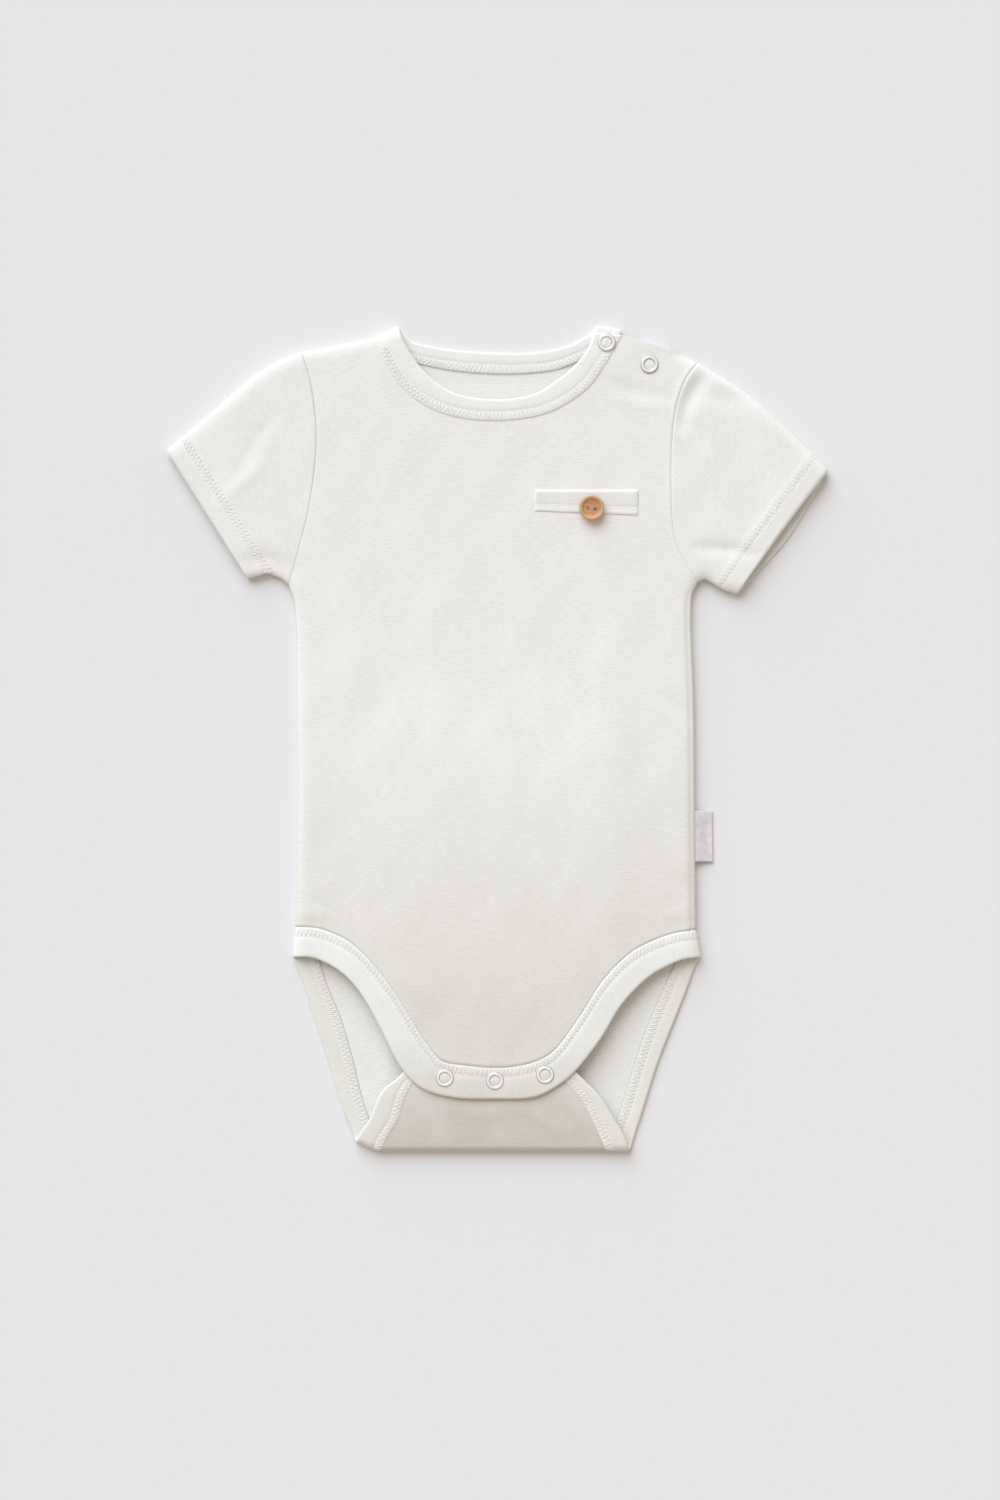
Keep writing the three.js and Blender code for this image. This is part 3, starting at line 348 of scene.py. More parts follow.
def shell(name, middle, normal, half, flat, closed=False):
    """A thin wall of cloth round a grid of points, with a rim at its edges. flat is where each point
    lies in the cut piece. A closed one is a tube, whose last column meets its first."""
    rows, columns = half.shape
    out = normal * half[..., None]
    points = np.concatenate([(middle + out).reshape(-1, 3), (middle - out).reshape(-1, 3)]) * MM
    grid = np.arange(rows * columns).reshape(rows, columns)
    flat_grid = np.arange(flat[..., 0].size).reshape(flat.shape[:2])
    if closed:
        grid = np.hstack([grid, grid[:, :1]])
    faces = wall_faces(grid, rows * columns, closed)
    corners = wall_faces(flat_grid, 0, closed)
    a, b, c = (points[faces[:, k]] for k in (0, 1, 2))
    d = points[faces[:, 3]]
    if (a * np.cross(b, c) + a * np.cross(c, d)).sum() < 0:
        faces, corners = faces[:, ::-1], corners[:, ::-1]
    mesh = bpy.data.meshes.new(name)
    mesh.from_pydata(points.tolist(), [], faces.tolist())
    pattern = mesh.uv_layers.new(name="flat")
    pattern.data.foreach_set("uv", (flat.reshape(-1, 2)[corners.ravel()] * MM).ravel())
    mesh.shade_smooth()
    piece = bpy.data.objects.new(name, mesh)
    bpy.context.collection.objects.link(piece)
    return piece


def node_maker(material):
    """Adds a node with some of its inputs set, and links outputs given as inputs."""
    tree = material.node_tree

    def make(kind, output=0, inputs=(), **settings):
        node = tree.nodes.new(kind)
        for key, value in settings.items():
            setattr(node, key, value)
        for key, value in dict(inputs).items():
            if isinstance(value, bpy.types.NodeSocket):
                tree.links.new(value, node.inputs[key])
            else:
                node.inputs[key].default_value = value
        return node.outputs[output]

    return make


def interlock(name, pale, deep, painted_shade_tint, painted_shade_span, towards=(0, -1, 0), wale=0.0011, relief=0.00007):
    """Fine cotton interlock: columns of small V stitches with thick and thin yarn across them. Painted
    shade darkens and warms the cotton in one direction, over a stretch given by where it starts and ends."""
    material = bpy.data.materials.new(name)
    material.use_nodes = True
    make = node_maker(material)
    flat = make("ShaderNodeUVMap", uv_map="flat")
    across = make("ShaderNodeSeparateXYZ", 0, {0: flat})
    along = across.node.outputs[1]
    column = make("ShaderNodeMath", 0, {0: across, 1: wale}, operation="DIVIDE")
    column = make("ShaderNodeMath", 0, {0: column, 1: 0.5}, operation="PINGPONG")
    course = make("ShaderNodeMath", 0, {0: along, 1: 2 * math.pi / (0.9 * wale)}, operation="MULTIPLY")
    slant = make("ShaderNodeMath", 0, {0: column, 1: 7.0, 2: course}, operation="MULTIPLY_ADD")
    stitch = make("ShaderNodeMath", 0, {0: slant}, operation="SINE")
    rib = make("ShaderNodeMath", 0, {0: column, 1: 2.4, 2: stitch}, operation="MULTIPLY_ADD")
    thick = make("ShaderNodeMapping", 0, {"Vector": flat, "Scale": (230, 1150, 1)})
    yarn = make("ShaderNodeTexNoise", 0, {"Vector": thick, "Scale": 1.0, "Detail": 3.0})
    fuzz = make("ShaderNodeTexNoise", 0, {"Vector": flat, "Scale": 1900.0, "Detail": 2.0})
    cloudy = make("ShaderNodeTexNoise", 0, {"Vector": flat, "Scale": 34.0, "Detail": 2.0})
    mixed = make("ShaderNodeMath", 0, {0: yarn, 1: 0.62, 2: 0.0}, operation="MULTIPLY_ADD")
    mixed = make("ShaderNodeMath", 0, {0: fuzz, 1: 0.2, 2: mixed}, operation="MULTIPLY_ADD")
    mixed = make("ShaderNodeMath", 0, {0: cloudy, 1: 0.18, 2: mixed}, operation="MULTIPLY_ADD")
    tone = make("ShaderNodeValToRGB", 0, {"Fac": mixed})
    for stop, position, colour in zip(tone.node.color_ramp.elements, (0.36, 0.6), (deep, pale)):
        stop.position = position
        stop.color = (*colour, 1)
    # Painted shade: the knit's colour is multiplied by a darker, warmer tint that grows along one direction
    place = make("ShaderNodeTexCoord", 3)
    reach = make("ShaderNodeVectorMath", 1, {0: place, 1: towards}, operation="DOT_PRODUCT")
    reach = make("ShaderNodeMapRange", 0, {"Value": reach, "From Min": painted_shade_span[0], "From Max": painted_shade_span[1]})
    shaded_tone = make("ShaderNodeMix", 2, {0: reach, 6: tone}, data_type="RGBA", blend_type="MULTIPLY")
    shaded_tone.node.inputs[7].default_value = (*painted_shade_tint, 1)
    height = make("ShaderNodeMath", 0, {0: rib, 1: 0.3, 2: yarn}, operation="MULTIPLY_ADD")
    height = make("ShaderNodeMath", 0, {0: fuzz, 1: 0.5, 2: height}, operation="MULTIPLY_ADD")
    bump = make("ShaderNodeBump", 0, {"Height": height, "Distance": relief, "Strength": 0.9})
    cotton = material.node_tree.nodes["Principled BSDF"]
    material.node_tree.links.new(shaded_tone, cotton.inputs["Base Color"])
    material.node_tree.links.new(bump, cotton.inputs["Normal"])
    cotton.inputs["Roughness"].default_value = 0.95
    cotton.inputs["Specular IOR Level"].default_value = 0.1
    cotton.inputs["Sheen Weight"].default_value = 0.1
    cotton.inputs["Sheen Roughness"].default_value = 0.6
    return material


BODY_KNIT = {"pale": (0.86, 0.852, 0.825), "deep": (0.79, 0.78, 0.745)}
# Painted shade: the body's interlock darkens and warms from the chest down to the crotch
jersey = interlock("white interlock", painted_shade_tint=(0.86, 0.83, 0.79), painted_shade_span=(-0.01, 0.215), **BODY_KNIT)

SHOULDER_COUNT = 22
NECK_COUNT = 96
ARMHOLE_COUNT = 74
SIDE_COUNT = 108
neck_front = walk(NECK_FRONT_SEAM, NECK_COUNT, True)
shoulder_right = walk(SHOULDER_RIGHT, SHOULDER_COUNT, False, True)
armhole_right = walk(ARMHOLE_RIGHT, ARMHOLE_COUNT, True, True)
armhole_left = walk(ARMHOLE_LEFT, ARMHOLE_COUNT, True, True)
side_right = walk(SIDE_RIGHT, SIDE_COUNT, True)
side_left = walk(SIDE_LEFT, SIDE_COUNT, True)
COLUMNS = 2 * SHOULDER_COUNT + NECK_COUNT - 2
front_plan = filled(
    joined(shoulder_right[::-1], neck_front, walk(SHOULDER_LEFT, SHOULDER_COUNT, False, True)),
    joined(armhole_left, side_left),
    walk(LEG_FRONT_SEAM, COLUMNS, True, True),
    joined(armhole_right, side_right),
)
front_middle, front_normal = layer(front_plan, 1)


def armhole_form(plan, allowance):
    """The cloth dips into the armhole seam, beside the left one's turned allowance."""
    right = nearest(steps_of(curve(ARMHOLE_RIGHT)), plan)[0]
    left = nearest(steps_of(curve(ARMHOLE_LEFT)), plan)[0]
    distance = np.minimum(right, left)
    ridge = allowance * np.exp(-(((left - 1.0) / 1.0) ** 2))
    return distance, ridge - 0.08 * np.exp(-((distance / 0.7) ** 2))


def pressed(near_seam):
    """Half the thickness of the cloth, which its seam presses thinner."""
    return CLOTH / 2 * rounded(near_seam + 0.2, 0.38)


armhole_near, armhole_rise = armhole_form(front_plan, 0.2)
side_seam = curve([(x - 2.0, y) for x, y in SIDE_LEFT[1:]])
side_near = nearest(steps_of(side_seam), front_plan)[0]
side_rise = 0.12 * np.exp(-(((side_near - 1.4) / 0.8) ** 2)) - 0.35 * np.exp(-((side_near / 0.5) ** 2))
front_middle = front_middle + front_normal * (armhole_rise + side_rise)[..., None]
front = shell("front", front_middle, front_normal, pressed(armhole_near), front_plan)
front.data.materials.append(jersey)
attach(front, "root")
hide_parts("front_panel")

# Back panel: the same interlock, cut longer. Past the leg holes it folds up over itself in a tab,
# whose outside shows below the front crotch, and the inside of the back shows in the leg holes.
FOLD_RADIUS = 2.4
FOLD_EDGE_Y = -214.8
FOLD_START_Y = FOLD_EDGE_Y + CLOTH / 2 + FOLD_RADIUS
FOLD_LENGTH = math.pi * FOLD_RADIUS
TAB_LIFT = 1.5           # the tab rises a little from its full fold to the front crotch
TAB_RISE_LENGTH = 27.0   # over this length
CORNER_RISE = 4.4        # the fold runs up at its right corner
TAB_CORNER = -178.6      # y of the tab's corners
TAB_END = -166.2         # and of its free edge, hidden under the front crotch
BACK_SHOULDER_LEFT = [
    (64.0, 211.4), (66.5, 204.6), (72.0, 202.8), (80.0, 200.2), (88.0, 197.8), (94.6, 198.9), (103.7, 195.0),
]
NECK_BACK_SEAM = [
    (-63.2, 208.5), (-57.2, 202.4), (-48.0, 197.4), (-34.0, 193.6), (-19.0, 191.1), (0.0, 189.9),
    (17.0, 190.3), (31.5, 192.4), (45.5, 198.1), (56.0, 204.6), (64.0, 211.4),
]
# The leg edges, down to the fold and then up the tab that is folded over it
LEG_BACK_RIGHT = [
    {"seam": (-104.8, -98.3), "free": (-106.3, -113.9)},
    {"seam": (-98.5, -105.0), "free": (-105.9, -115.4)},
    {"seam": (-93.3, -115.4), "free": (-104.4, -118.6)},
    {"seam": (-89.1, -128.4), "free": (-101.3, -127.5)},
    {"seam": (-81.6, -147.0), "free": (-94.4, -148.5)},
    {"seam": (-75.7, -167.4), "free": (-88.0, -169.0)},
    {"seam": (-70.3, -189.0), "free": (-81.4, -190.5)},
]
TAB_RIGHT = [
    {"seam": (-57.5, -208.0), "free": (-71.4, -208.0)},
    {"seam": (-51.7, -198.5), "free": (-66.6, -197.5)},
    {"seam": (-47.6, -186.0), "free": (-61.0, -184.0)},
    {"seam": (-43.5, TAB_CORNER), "free": (-53.0, -177.6)},
]
LEG_BACK_LEFT = [
    {"seam": (102.7, -99.8), "free": (105.3, -113.9)},
    {"seam": (97.5, -106.6), "free": (104.8, -115.6)},
    {"seam": (92.8, -117.0), "free": (102.8, -119.6)},
    {"seam": (86.6, -131.0), "free": (98.3, -132.0)},
    {"seam": (79.0, -149.0), "free": (90.6, -151.5)},
    {"seam": (72.2, -168.0), "free": (83.4, -170.0)},
    {"seam": (65.6, -190.0), "free": (76.6, -191.5)},
]
TAB_LEFT = [
    {"seam": (53.6, -208.0), "free": (66.4, -208.0)},
    {"seam": (49.6, -199.5), "free": (61.6, -198.5)},
    {"seam": (43.6, -188.0), "free": (54.6, -187.5)},
    {"seam": (35.5, TAB_CORNER), "free": (45.0, -177.6)},
]
# Folds of the back, standing up from the table or, past the fold line, up from the tab
BACK_FOLDS = [
    {"path": [(-40, 120), (-36, 60), (-44, 0)], "width": 9, "rise": 0.5},
    {"path": [(34, 140), (30, 90), (38, 20)], "width": 8, "rise": 0.45},
    {"path": [(-6, 40), (2, -20), (-4, -90)], "width": 10, "rise": 0.5},
    {"path": [(62, -10), (56, -60), (60, -120)], "width": 8, "rise": 0.4},
    {"path": [(-84, 60), (-70, 30), (-66, -20)], "width": 7, "rise": 0.4},
    {"path": [(-66, -128), (-58, -150), (-56, -178)], "width": 6, "rise": 0.5},
    {"path": [(62, -120), (58, -146), (50, -172)], "width": 6, "rise": 0.45},
    {"path": [(-34, 184), (-30, 179), (-24, 177)], "width": 4, "rise": 0.35},
]
TAB_FOLDS = [
    {"path": [(10, -191), (20, -197), (30, -205)], "width": 5, "rise": 0.35},
    {"path": [(-30, -192), (-10, -196), (8, -193)], "width": 6, "rise": 0.4},
    {"path": [(34, -188), (40, -196), (42, -206)], "width": 4, "rise": 0.3},
    {"path": [(-40, -188), (-34, -196), (-32, -207)], "width": 4, "rise": -0.25},
]


def unfolded(y):
    """Where a point of the folded tab lies in the cut piece."""
    return 2 * FOLD_START_Y - FOLD_LENGTH - y


def leg_line(leg, tab, edge):
    """A leg edge in the cut piece, from the side seam to the tab's corner."""
    return curve([row[edge] for row in leg] + [(row[edge][0], unfolded(row[edge][1])) for row in tab], 16)


def folded_back(plan):
    """The back as it lies: on the table, round the fold, and up over itself."""
    x, y = plan[..., 0], plan[..., 1]
    past = FOLD_START_Y - y
    angle = np.clip(past / FOLD_RADIUS, 0, math.pi)
    middle, normal = layer(plan, -1)
    lying = np.maximum(y, FOLD_START_Y) - FOLD_RADIUS * np.sin(angle) + np.maximum(0, past - FOLD_LENGTH)
    on_table = past <= 0
    from_edge = nearest(TURNED, plan)[0]
    inside = smooth(from_edge, 2, 10) * smooth(y, FOLD_START_Y + 3, FOLD_START_Y + 20)
    rise = folds(plan, BACK_FOLDS) * inside
    tab_plan = np.stack([x, lying], -1)
    up = past - FOLD_LENGTH
    creased = (folds(tab_plan, TAB_FOLDS) + 0.8 * waves(tab_plan)) * smooth(up, 0, 6)
    tab_rise = TAB_LIFT * np.clip(up / TAB_RISE_LENGTH, 0, 1) + creased
    folded = FLOOR_MID + FOLD_RADIUS * (1 - np.cos(angle)) + tab_rise
    height = np.where(on_table, middle[..., 2] + rise, folded)
    corner = CORNER_RISE * smooth(-x, 61, 75) * smooth(-lying, 192, -FOLD_EDGE_Y)
    round_fold = np.stack([0 * x, -np.sin(angle), -np.cos(angle)], -1)
    return np.stack([x, lying + corner, height], -1), np.where(on_table[..., None], normal, round_fold)


def at_heights(line, heights):
    """Points of a line that runs down, at given y."""
    return np.column_stack([np.interp(heights, line[::-1, 1], line[::-1, 0]), heights])


leg_right = leg_line(LEG_BACK_RIGHT, TAB_RIGHT, "seam")
leg_left = leg_line(LEG_BACK_LEFT, TAB_LEFT, "seam")
corner_row = unfolded(TAB_CORNER)
LEG_TOP_Y = -101.5
leg_rows = np.concatenate([
    np.linspace(LEG_TOP_Y, FOLD_START_Y, 60),
    np.linspace(FOLD_START_Y, FOLD_START_Y - FOLD_LENGTH, 12)[1:],
    np.linspace(FOLD_START_Y - FOLD_LENGTH, corner_row, 20)[1:],
])
back_top = joined(
    shoulder_right[::-1],
    walk(NECK_BACK_SEAM, NECK_COUNT, True),
    walk(BACK_SHOULDER_LEFT, SHOULDER_COUNT, False, True),
)
back_plan = filled(
    back_top,
    joined(armhole_left, side_left, leg_left[:1], at_heights(leg_left, leg_rows)),
    np.linspace(leg_right[-1], leg_left[-1], COLUMNS),
    joined(armhole_right, side_right, leg_right[:1], at_heights(leg_right, leg_rows)),
    fade=lambda v: smooth(v, 0, 0.35),
    spread=lambda v: smooth(v, 0.55, 0.8),
)
back_middle, back_normal = folded_back(back_plan)
back_near, back_rise = armhole_form(back_plan, 0)
back_middle = back_middle + back_normal * np.minimum(back_rise, 0)[..., None]
back = shell("back", back_middle, back_normal, pressed(back_near), back_plan)
# Painted shade, darker and warmer up from the table and down the tab, so on the folded tab alone
painted_shade_jersey = interlock(
    "white interlock, painted shade", painted_shade_tint=(0.74, 0.7, 0.64), painted_shade_span=(0.24, 0.27), towards=(0, -1, 10), **BODY_KNIT
)
back.data.materials.append(painted_shade_jersey)
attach(back, "root")
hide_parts("back_panel")

# Sleeves: short set-in sleeves, each one piece of the interlock closed under the arm. The hem is
# turned up 14 mm and held by a coverstitch, so the cloth is double there.
SLEEVE_ROWS = 64
HEM_DEPTH = 14.0
CUFF_RIGHT = [(-172.0, 148.9), (-151.0, 115.8), (-130.3, 83.2)]
CUFF_LEFT_FRONT = [(172.0, 138.8), (147.0, 106.0), (125.1, 75.4)]
CUFF_LEFT_BACK = [(172.0, 138.8), (151.6, 104.0), (125.1, 75.4)]
NEEDLE_LINES = (0.9, 4.7)    # of every coverstitch, from the edge it holds


def hem_form(distance):
    """How much thicker a hem is, and the grooves that its two rows of stitches pull in."""
    double = 0.14 * (1 - smooth(distance, HEM_DEPTH - 1.0, HEM_DEPTH + 1.0))
    grooves = sum(
        0.1 * np.exp(-(((distance - (HEM_DEPTH - line)) / 0.5) ** 2)) for line in NEEDLE_LINES
    )
    return double - grooves


def sleeve(name, armhole, over_arm, under_arm, cuffs, grain):
    """A flattened tube: the front's columns of points, then the back's the other way. The grain is
    the direction in plan that the columns of stitches run in."""
    middles, normals, halves, flats = [], [], [], []
    for side, cuff in zip((1, -1), cuffs):
        cuff_line = walk(cuff, ARMHOLE_COUNT, True, True)
        plan = filled(armhole, walk(under_arm, SLEEVE_ROWS), cuff_line, walk(over_arm, SLEEVE_ROWS))
        middle, normal = layer(plan, side, 0)
        near, rise = armhole_form(plan, 0)
        from_cuff = nearest(steps_of(curve(cuff)), plan)[0]
        half = pressed(near) + hem_form(from_cuff)
        half *= rounded(from_cuff, 0.7)
        if side < 0:
            half = np.minimum(half, CLOTH / 2)
        middle = middle + normal * (rise + (np.maximum(half - CLOTH / 2, 0) if side > 0 else 0))[..., None]
        across, down = np.array([-grain[1], grain[0]]), np.array(grain)
        flat = np.stack([plan @ across * side, plan @ down], -1)
        order = slice(None) if side > 0 else slice(-2, 0, -1)
        middles.append(middle[:, order])
        normals.append(normal[:, order])
        halves.append(half[:, order])
        flats.append(flat if side > 0 else flat[:, ::-1][:, 1:])
    piece = shell(name, np.hstack(middles), np.hstack(normals), np.hstack(halves), np.hstack(flats), True)
    piece.data.materials.append(jersey)
    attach(piece, "root")
    return piece


sleeve_of_right = sleeve(
    "right_sleeve", armhole_right, SLEEVE_TOP_RIGHT, UNDERARM_RIGHT,
    cuffs=(CUFF_RIGHT, CUFF_RIGHT), grain=(-0.844, -0.536),
)
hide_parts("sleeve_right")
sleeve_of_left = sleeve(
    "left_sleeve", armhole_left, SLEEVE_TOP_LEFT, UNDERARM_LEFT,
    cuffs=(CUFF_LEFT_FRONT, CUFF_LEFT_BACK), grain=(0.812, -0.584),
)
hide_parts("sleeve_left")

# Front leg band: one strip of the interlock, folded over the raw edge of both front leg holes and
# the crotch, and held by a coverstitch near its sewn edge.
BINDING = 2.0
BINDING_END = 1.3        # where a strip is caught in a seam
BINDING_TAPER = 9.0      # over this length
SEAM_LAP = 0.15          # a strip starts this far inside the edge that it holds
STRIP_LIFT = 0.12        # of a strip's middle over the middle of the front that it holds
NECK_FRONT_FREE = [
    (-51.2, 213.6), (-49.0, 207.0), (-40.8, 193.6), (-31.5, 184.6), (-21.0, 178.8), (-1.0, 176.1),
    (18.5, 178.7), (29.9, 185.4), (39.3, 192.9), (46.2, 201.2), (50.5, 210.4),
]
LEG_FRONT_FREE = [
    (-106.3, -113.9), (-97.5, -113.9), (-88.7, -117.0), (-79.3, -123.2), (-71.0, -132.6), (-61.0, -150.0),
    (-51.7, -168.5), (-45.5, -176.8), (-37.7, -182.7), (-23.0, -186.6), (-0.8, -187.4), (19.5, -186.3),
    (31.0, -180.6), (39.3, -174.0), (53.6, -156.0), (64.4, -138.4), (78.3, -124.3), (88.7, -118.2),
    (97.0, -114.9), (105.3, -113.9),
]
BINDING_KNIT = {"pale": (0.872, 0.87, 0.84), "deep": (0.815, 0.81, 0.775), "wale": 0.00095}
# Painted shade: the bands darken a little from the tops of the leg holes down and on the tab
binding_cloth = interlock("white binding", painted_shade_tint=(0.94, 0.925, 0.9), painted_shade_span=(0.09, 0.12), **BINDING_KNIT)
# Painted shade: the front crotch band darkens and warms towards the crotch
crotch_binding = interlock(
    "white binding, painted shade", painted_shade_tint=(0.83, 0.8, 0.765), painted_shade_span=(0.155, 0.187), **BINDING_KNIT
)

# Columns of a strip: fixed distances near the sewn edge, then shares of what is left
NEAR_SEAM = np.array([0, 0.1, 0.28, 0.55, 0.9, 1.25, 1.7, 2.4, 3.2, 3.9, 4.35, 4.7, 5.1, 5.7])
REST_SHARES = np.array([0.15, 0.35, 0.55, 0.72, 0.84, 0.91, 0.955, 0.985, 1])
NEEDLE_COLUMNS = [4, 11]


def strip_columns(width):
    rest = NEAR_SEAM[-1] + (width[:, None] - NEAR_SEAM[-1]) * REST_SHARES
    return np.hstack([np.tile(NEAR_SEAM, (len(width), 1)), rest])


def strip_share(across, width):
    """A strip's thickness across it: rounded at both edges, pulled in along its needle lines."""
    edge = rounded(across + 0.05, 0.7) * rounded(width[:, None] - across, 1.2)
    grooves = sum(0.12 * np.exp(-(((across - line) / 0.42) ** 2)) for line in NEEDLE_LINES)
    sewn_flat = 0.2 * (1 - smooth(across, 4.8, 6.6))
    return edge * (1.06 - grooves - sewn_flat)


def strip(name, seam, free, thick, surface, lift=0.0, material=binding_cloth):
    """A folded strip from its sewn edge to its free edge, on a surface of the garment."""
    reach = free - seam
    width = np.maximum(np.linalg.norm(reach, axis=1), 7.0)
    across = strip_columns(width + SEAM_LAP) - SEAM_LAP
    plan = seam[:, None] + reach[:, None] * (across / width[:, None])[..., None]
    middle, normal = surface(plan)
    half = thick[:, None] / 2 * strip_share(across + SEAM_LAP, width + SEAM_LAP)
    middle = middle + normal * np.broadcast_to(lift, half.shape)[..., None]
    along = run_of((seam + free) / 2)
    flat = np.stack([across, np.broadcast_to(along[:, None], across.shape)], -1)
    piece = shell(name, middle, normal, half, flat)
    piece.data.materials.append(material)
    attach(piece, "root")
    return piece, middle, normal, half


def thick_near(distance):
    """A strip is thinner where it is caught in a seam."""
    return BINDING_END + (BINDING - BINDING_END) * smooth(distance, 0, BINDING_TAPER)


def from_ends(line):
    """Distance of each point of a line to the nearer of its ends."""
    return np.minimum(np.linalg.norm(line - line[0], axis=1), np.linalg.norm(line - line[-1], axis=1))


LEG_COUNT = 330
leg_seam = walk(LEG_FRONT_SEAM, LEG_COUNT, True, True)
leg_free = walk(LEG_FRONT_FREE, LEG_COUNT, True, True)
leg_thick = thick_near(from_ends(leg_seam))
front_leg_band, leg_middle, leg_normal, leg_half = strip(
    "front_leg_band", leg_seam, leg_free, leg_thick, lambda plan: layer(plan, 1), STRIP_LIFT, crotch_binding
)
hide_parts("leg_binding_front")

# Coverstitch: two rows of needle thread with a third thread crossing between them, in white
# cotton, sewn through every band and hem.
STITCH = 2.2             # length of one stitch
THREAD = 0.17            # radius of the thread


def speckled(name, dark, light, scale, roughness, detail=2.0):
    """A material whose colour varies with a fine noise, which comes back for its bumps."""
    material = bpy.data.materials.new(name)
    material.use_nodes = True
    make = node_maker(material)
    place = make("ShaderNodeTexCoord", 3)
    noise = make("ShaderNodeTexNoise", 0, {"Vector": place, "Scale": scale, "Detail": detail})
    tone = make("ShaderNodeValToRGB", 0, {"Fac": noise})
    for stop, colour in zip(tone.node.color_ramp.elements, (dark, light)):
        stop.color = (*colour, 1)
    surface = material.node_tree.nodes["Principled BSDF"]
    material.node_tree.links.new(tone, surface.inputs["Base Color"])
    surface.inputs["Roughness"].default_value = roughness
    return material, surface, noise


thread_white, cotton_thread, twist = speckled(
    "cotton thread", (0.88, 0.875, 0.85), (0.94, 0.94, 0.92), scale=2600.0, roughness=0.75, detail=1.0
)
thread_bump = node_maker(thread_white)("ShaderNodeBump", 0, {"Height": twist, "Distance": 0.00003})
thread_white.node_tree.links.new(thread_bump, cotton_thread.inputs["Normal"])
cotton_thread.inputs["Sheen Weight"].default_value = 0.1


def thread_tube(path, up, radius, sides=5):
    """Points and faces of a thread along a path, with the direction away from the cloth."""
    ahead = np.gradient(path, axis=0)
    ahead /= np.linalg.norm(ahead, axis=1)[:, None]
    out = np.cross(ahead, up)
    out /= np.linalg.norm(out, axis=1)[:, None]
    over = np.cross(out, ahead)
    turn = 2 * math.pi * np.arange(sides) / sides
    ring = out[:, None] * np.cos(turn)[:, None] + over[:, None] * np.sin(turn)[:, None]
    points = (path[:, None] + radius * ring).reshape(-1, 3)
    grid = np.arange(len(points)).reshape(-1, sides)
    grid = np.hstack([grid, grid[:, :1]])
    faces = np.stack([grid[:-1, :-1], grid[:-1, 1:], grid[1:, 1:], grid[1:, :-1]], -1).reshape(-1, 4)
    caps = [list(grid[0, :-1][::-1]), list(grid[-1, :-1])]
    return points, [list(face) for face in faces] + caps


def sewn(name, threads, material=thread_white):
    """One mesh of several threads."""
    points, faces = [], []
    for some_points, some_faces in threads:
        shift = sum(len(part) for part in points)
        points.append(some_points)
        faces += [[int(corner) + shift for corner in face] for face in some_faces]
    mesh = bpy.data.meshes.new(name)
    mesh.from_pydata((np.vstack(points) * MM).tolist(), [], faces)
    mesh.shade_smooth()
    piece = bpy.data.objects.new(name, mesh)
    bpy.context.collection.objects.link(piece)
    bpy.ops.object.select_all(action="DESELECT")
    bpy.context.view_layer.objects.active = piece
    piece.select_set(True)
    bpy.ops.object.mode_set(mode="EDIT")
    bpy.ops.mesh.select_all(action="SELECT")
    bpy.ops.mesh.normals_make_consistent(inside=False)
    bpy.ops.object.mode_set(mode="OBJECT")
    piece.select_set(False)
    piece.data.materials.append(material)
    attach(piece, "root")
    return piece


def coverstitch_threads(near_rail, far_rail, up):
    """Threads along two rails of surface points: a wavy one between them and a dipping one on each."""
    length = run_of((near_rail + far_rail) / 2)
    count = int(length[-1] / STITCH)
    pitch = length[-1] / count

    def on(rail, distances):
        return np.stack([np.interp(distances, length, rail[:, k]) for k in range(3)], -1)

    fine = np.linspace(0, length[-1], count * 8 + 1)
    swing = 0.5 - 0.5 * np.cos(2 * math.pi * fine / pitch)
    swing = smooth(swing, -0.1, 1.1)
    raised = on(up, fine)
    raised /= np.linalg.norm(raised, axis=1)[:, None]
    lift = (0.1 + 0.16 * np.sin(2 * math.pi * fine / pitch) ** 2)[:, None]
    crossing = on(near_rail, fine) * (1 - swing[:, None]) + on(far_rail, fine) * swing[:, None]
    threads = [thread_tube(crossing + raised * lift, raised, THREAD)]
    sparse = np.linspace(0, length[-1], count * 4 + 1)
    raised = on(up, sparse)
    raised /= np.linalg.norm(raised, axis=1)[:, None]
    for rail, start in ((near_rail, 0.0), (far_rail, 0.5)):
        dip = np.abs(np.sin(math.pi * (sparse / pitch + start)))
        needle = on(rail, sparse) + raised * (0.17 * dip - 0.12)[:, None]
        threads.append(thread_tube(needle, raised, THREAD * 0.9, 4))
    return threads


def strip_rails(middle, normal, half, side=1):
    """The surface of a strip along its two needle lines, on one of its sides."""
    skin = middle + side * normal * half[..., None]
    near_rail, far_rail = (skin[:, column] for column in NEEDLE_COLUMNS)
    return near_rail, far_rail, side * normal[:, NEEDLE_COLUMNS[0]]


sewn("coverstitch_front_legs", coverstitch_threads(*strip_rails(leg_middle, leg_normal, leg_half)))


def same_side(points, edge):
    """Which points of a line lie on the same side of an edge as its middle one."""
    _, offset, run, _ = nearest(steps_of(curve(edge)), points)
    turn = run[:, 0] * offset[:, 1] - run[:, 1] * offset[:, 0]
    return turn * turn[len(turn) // 2] > 0


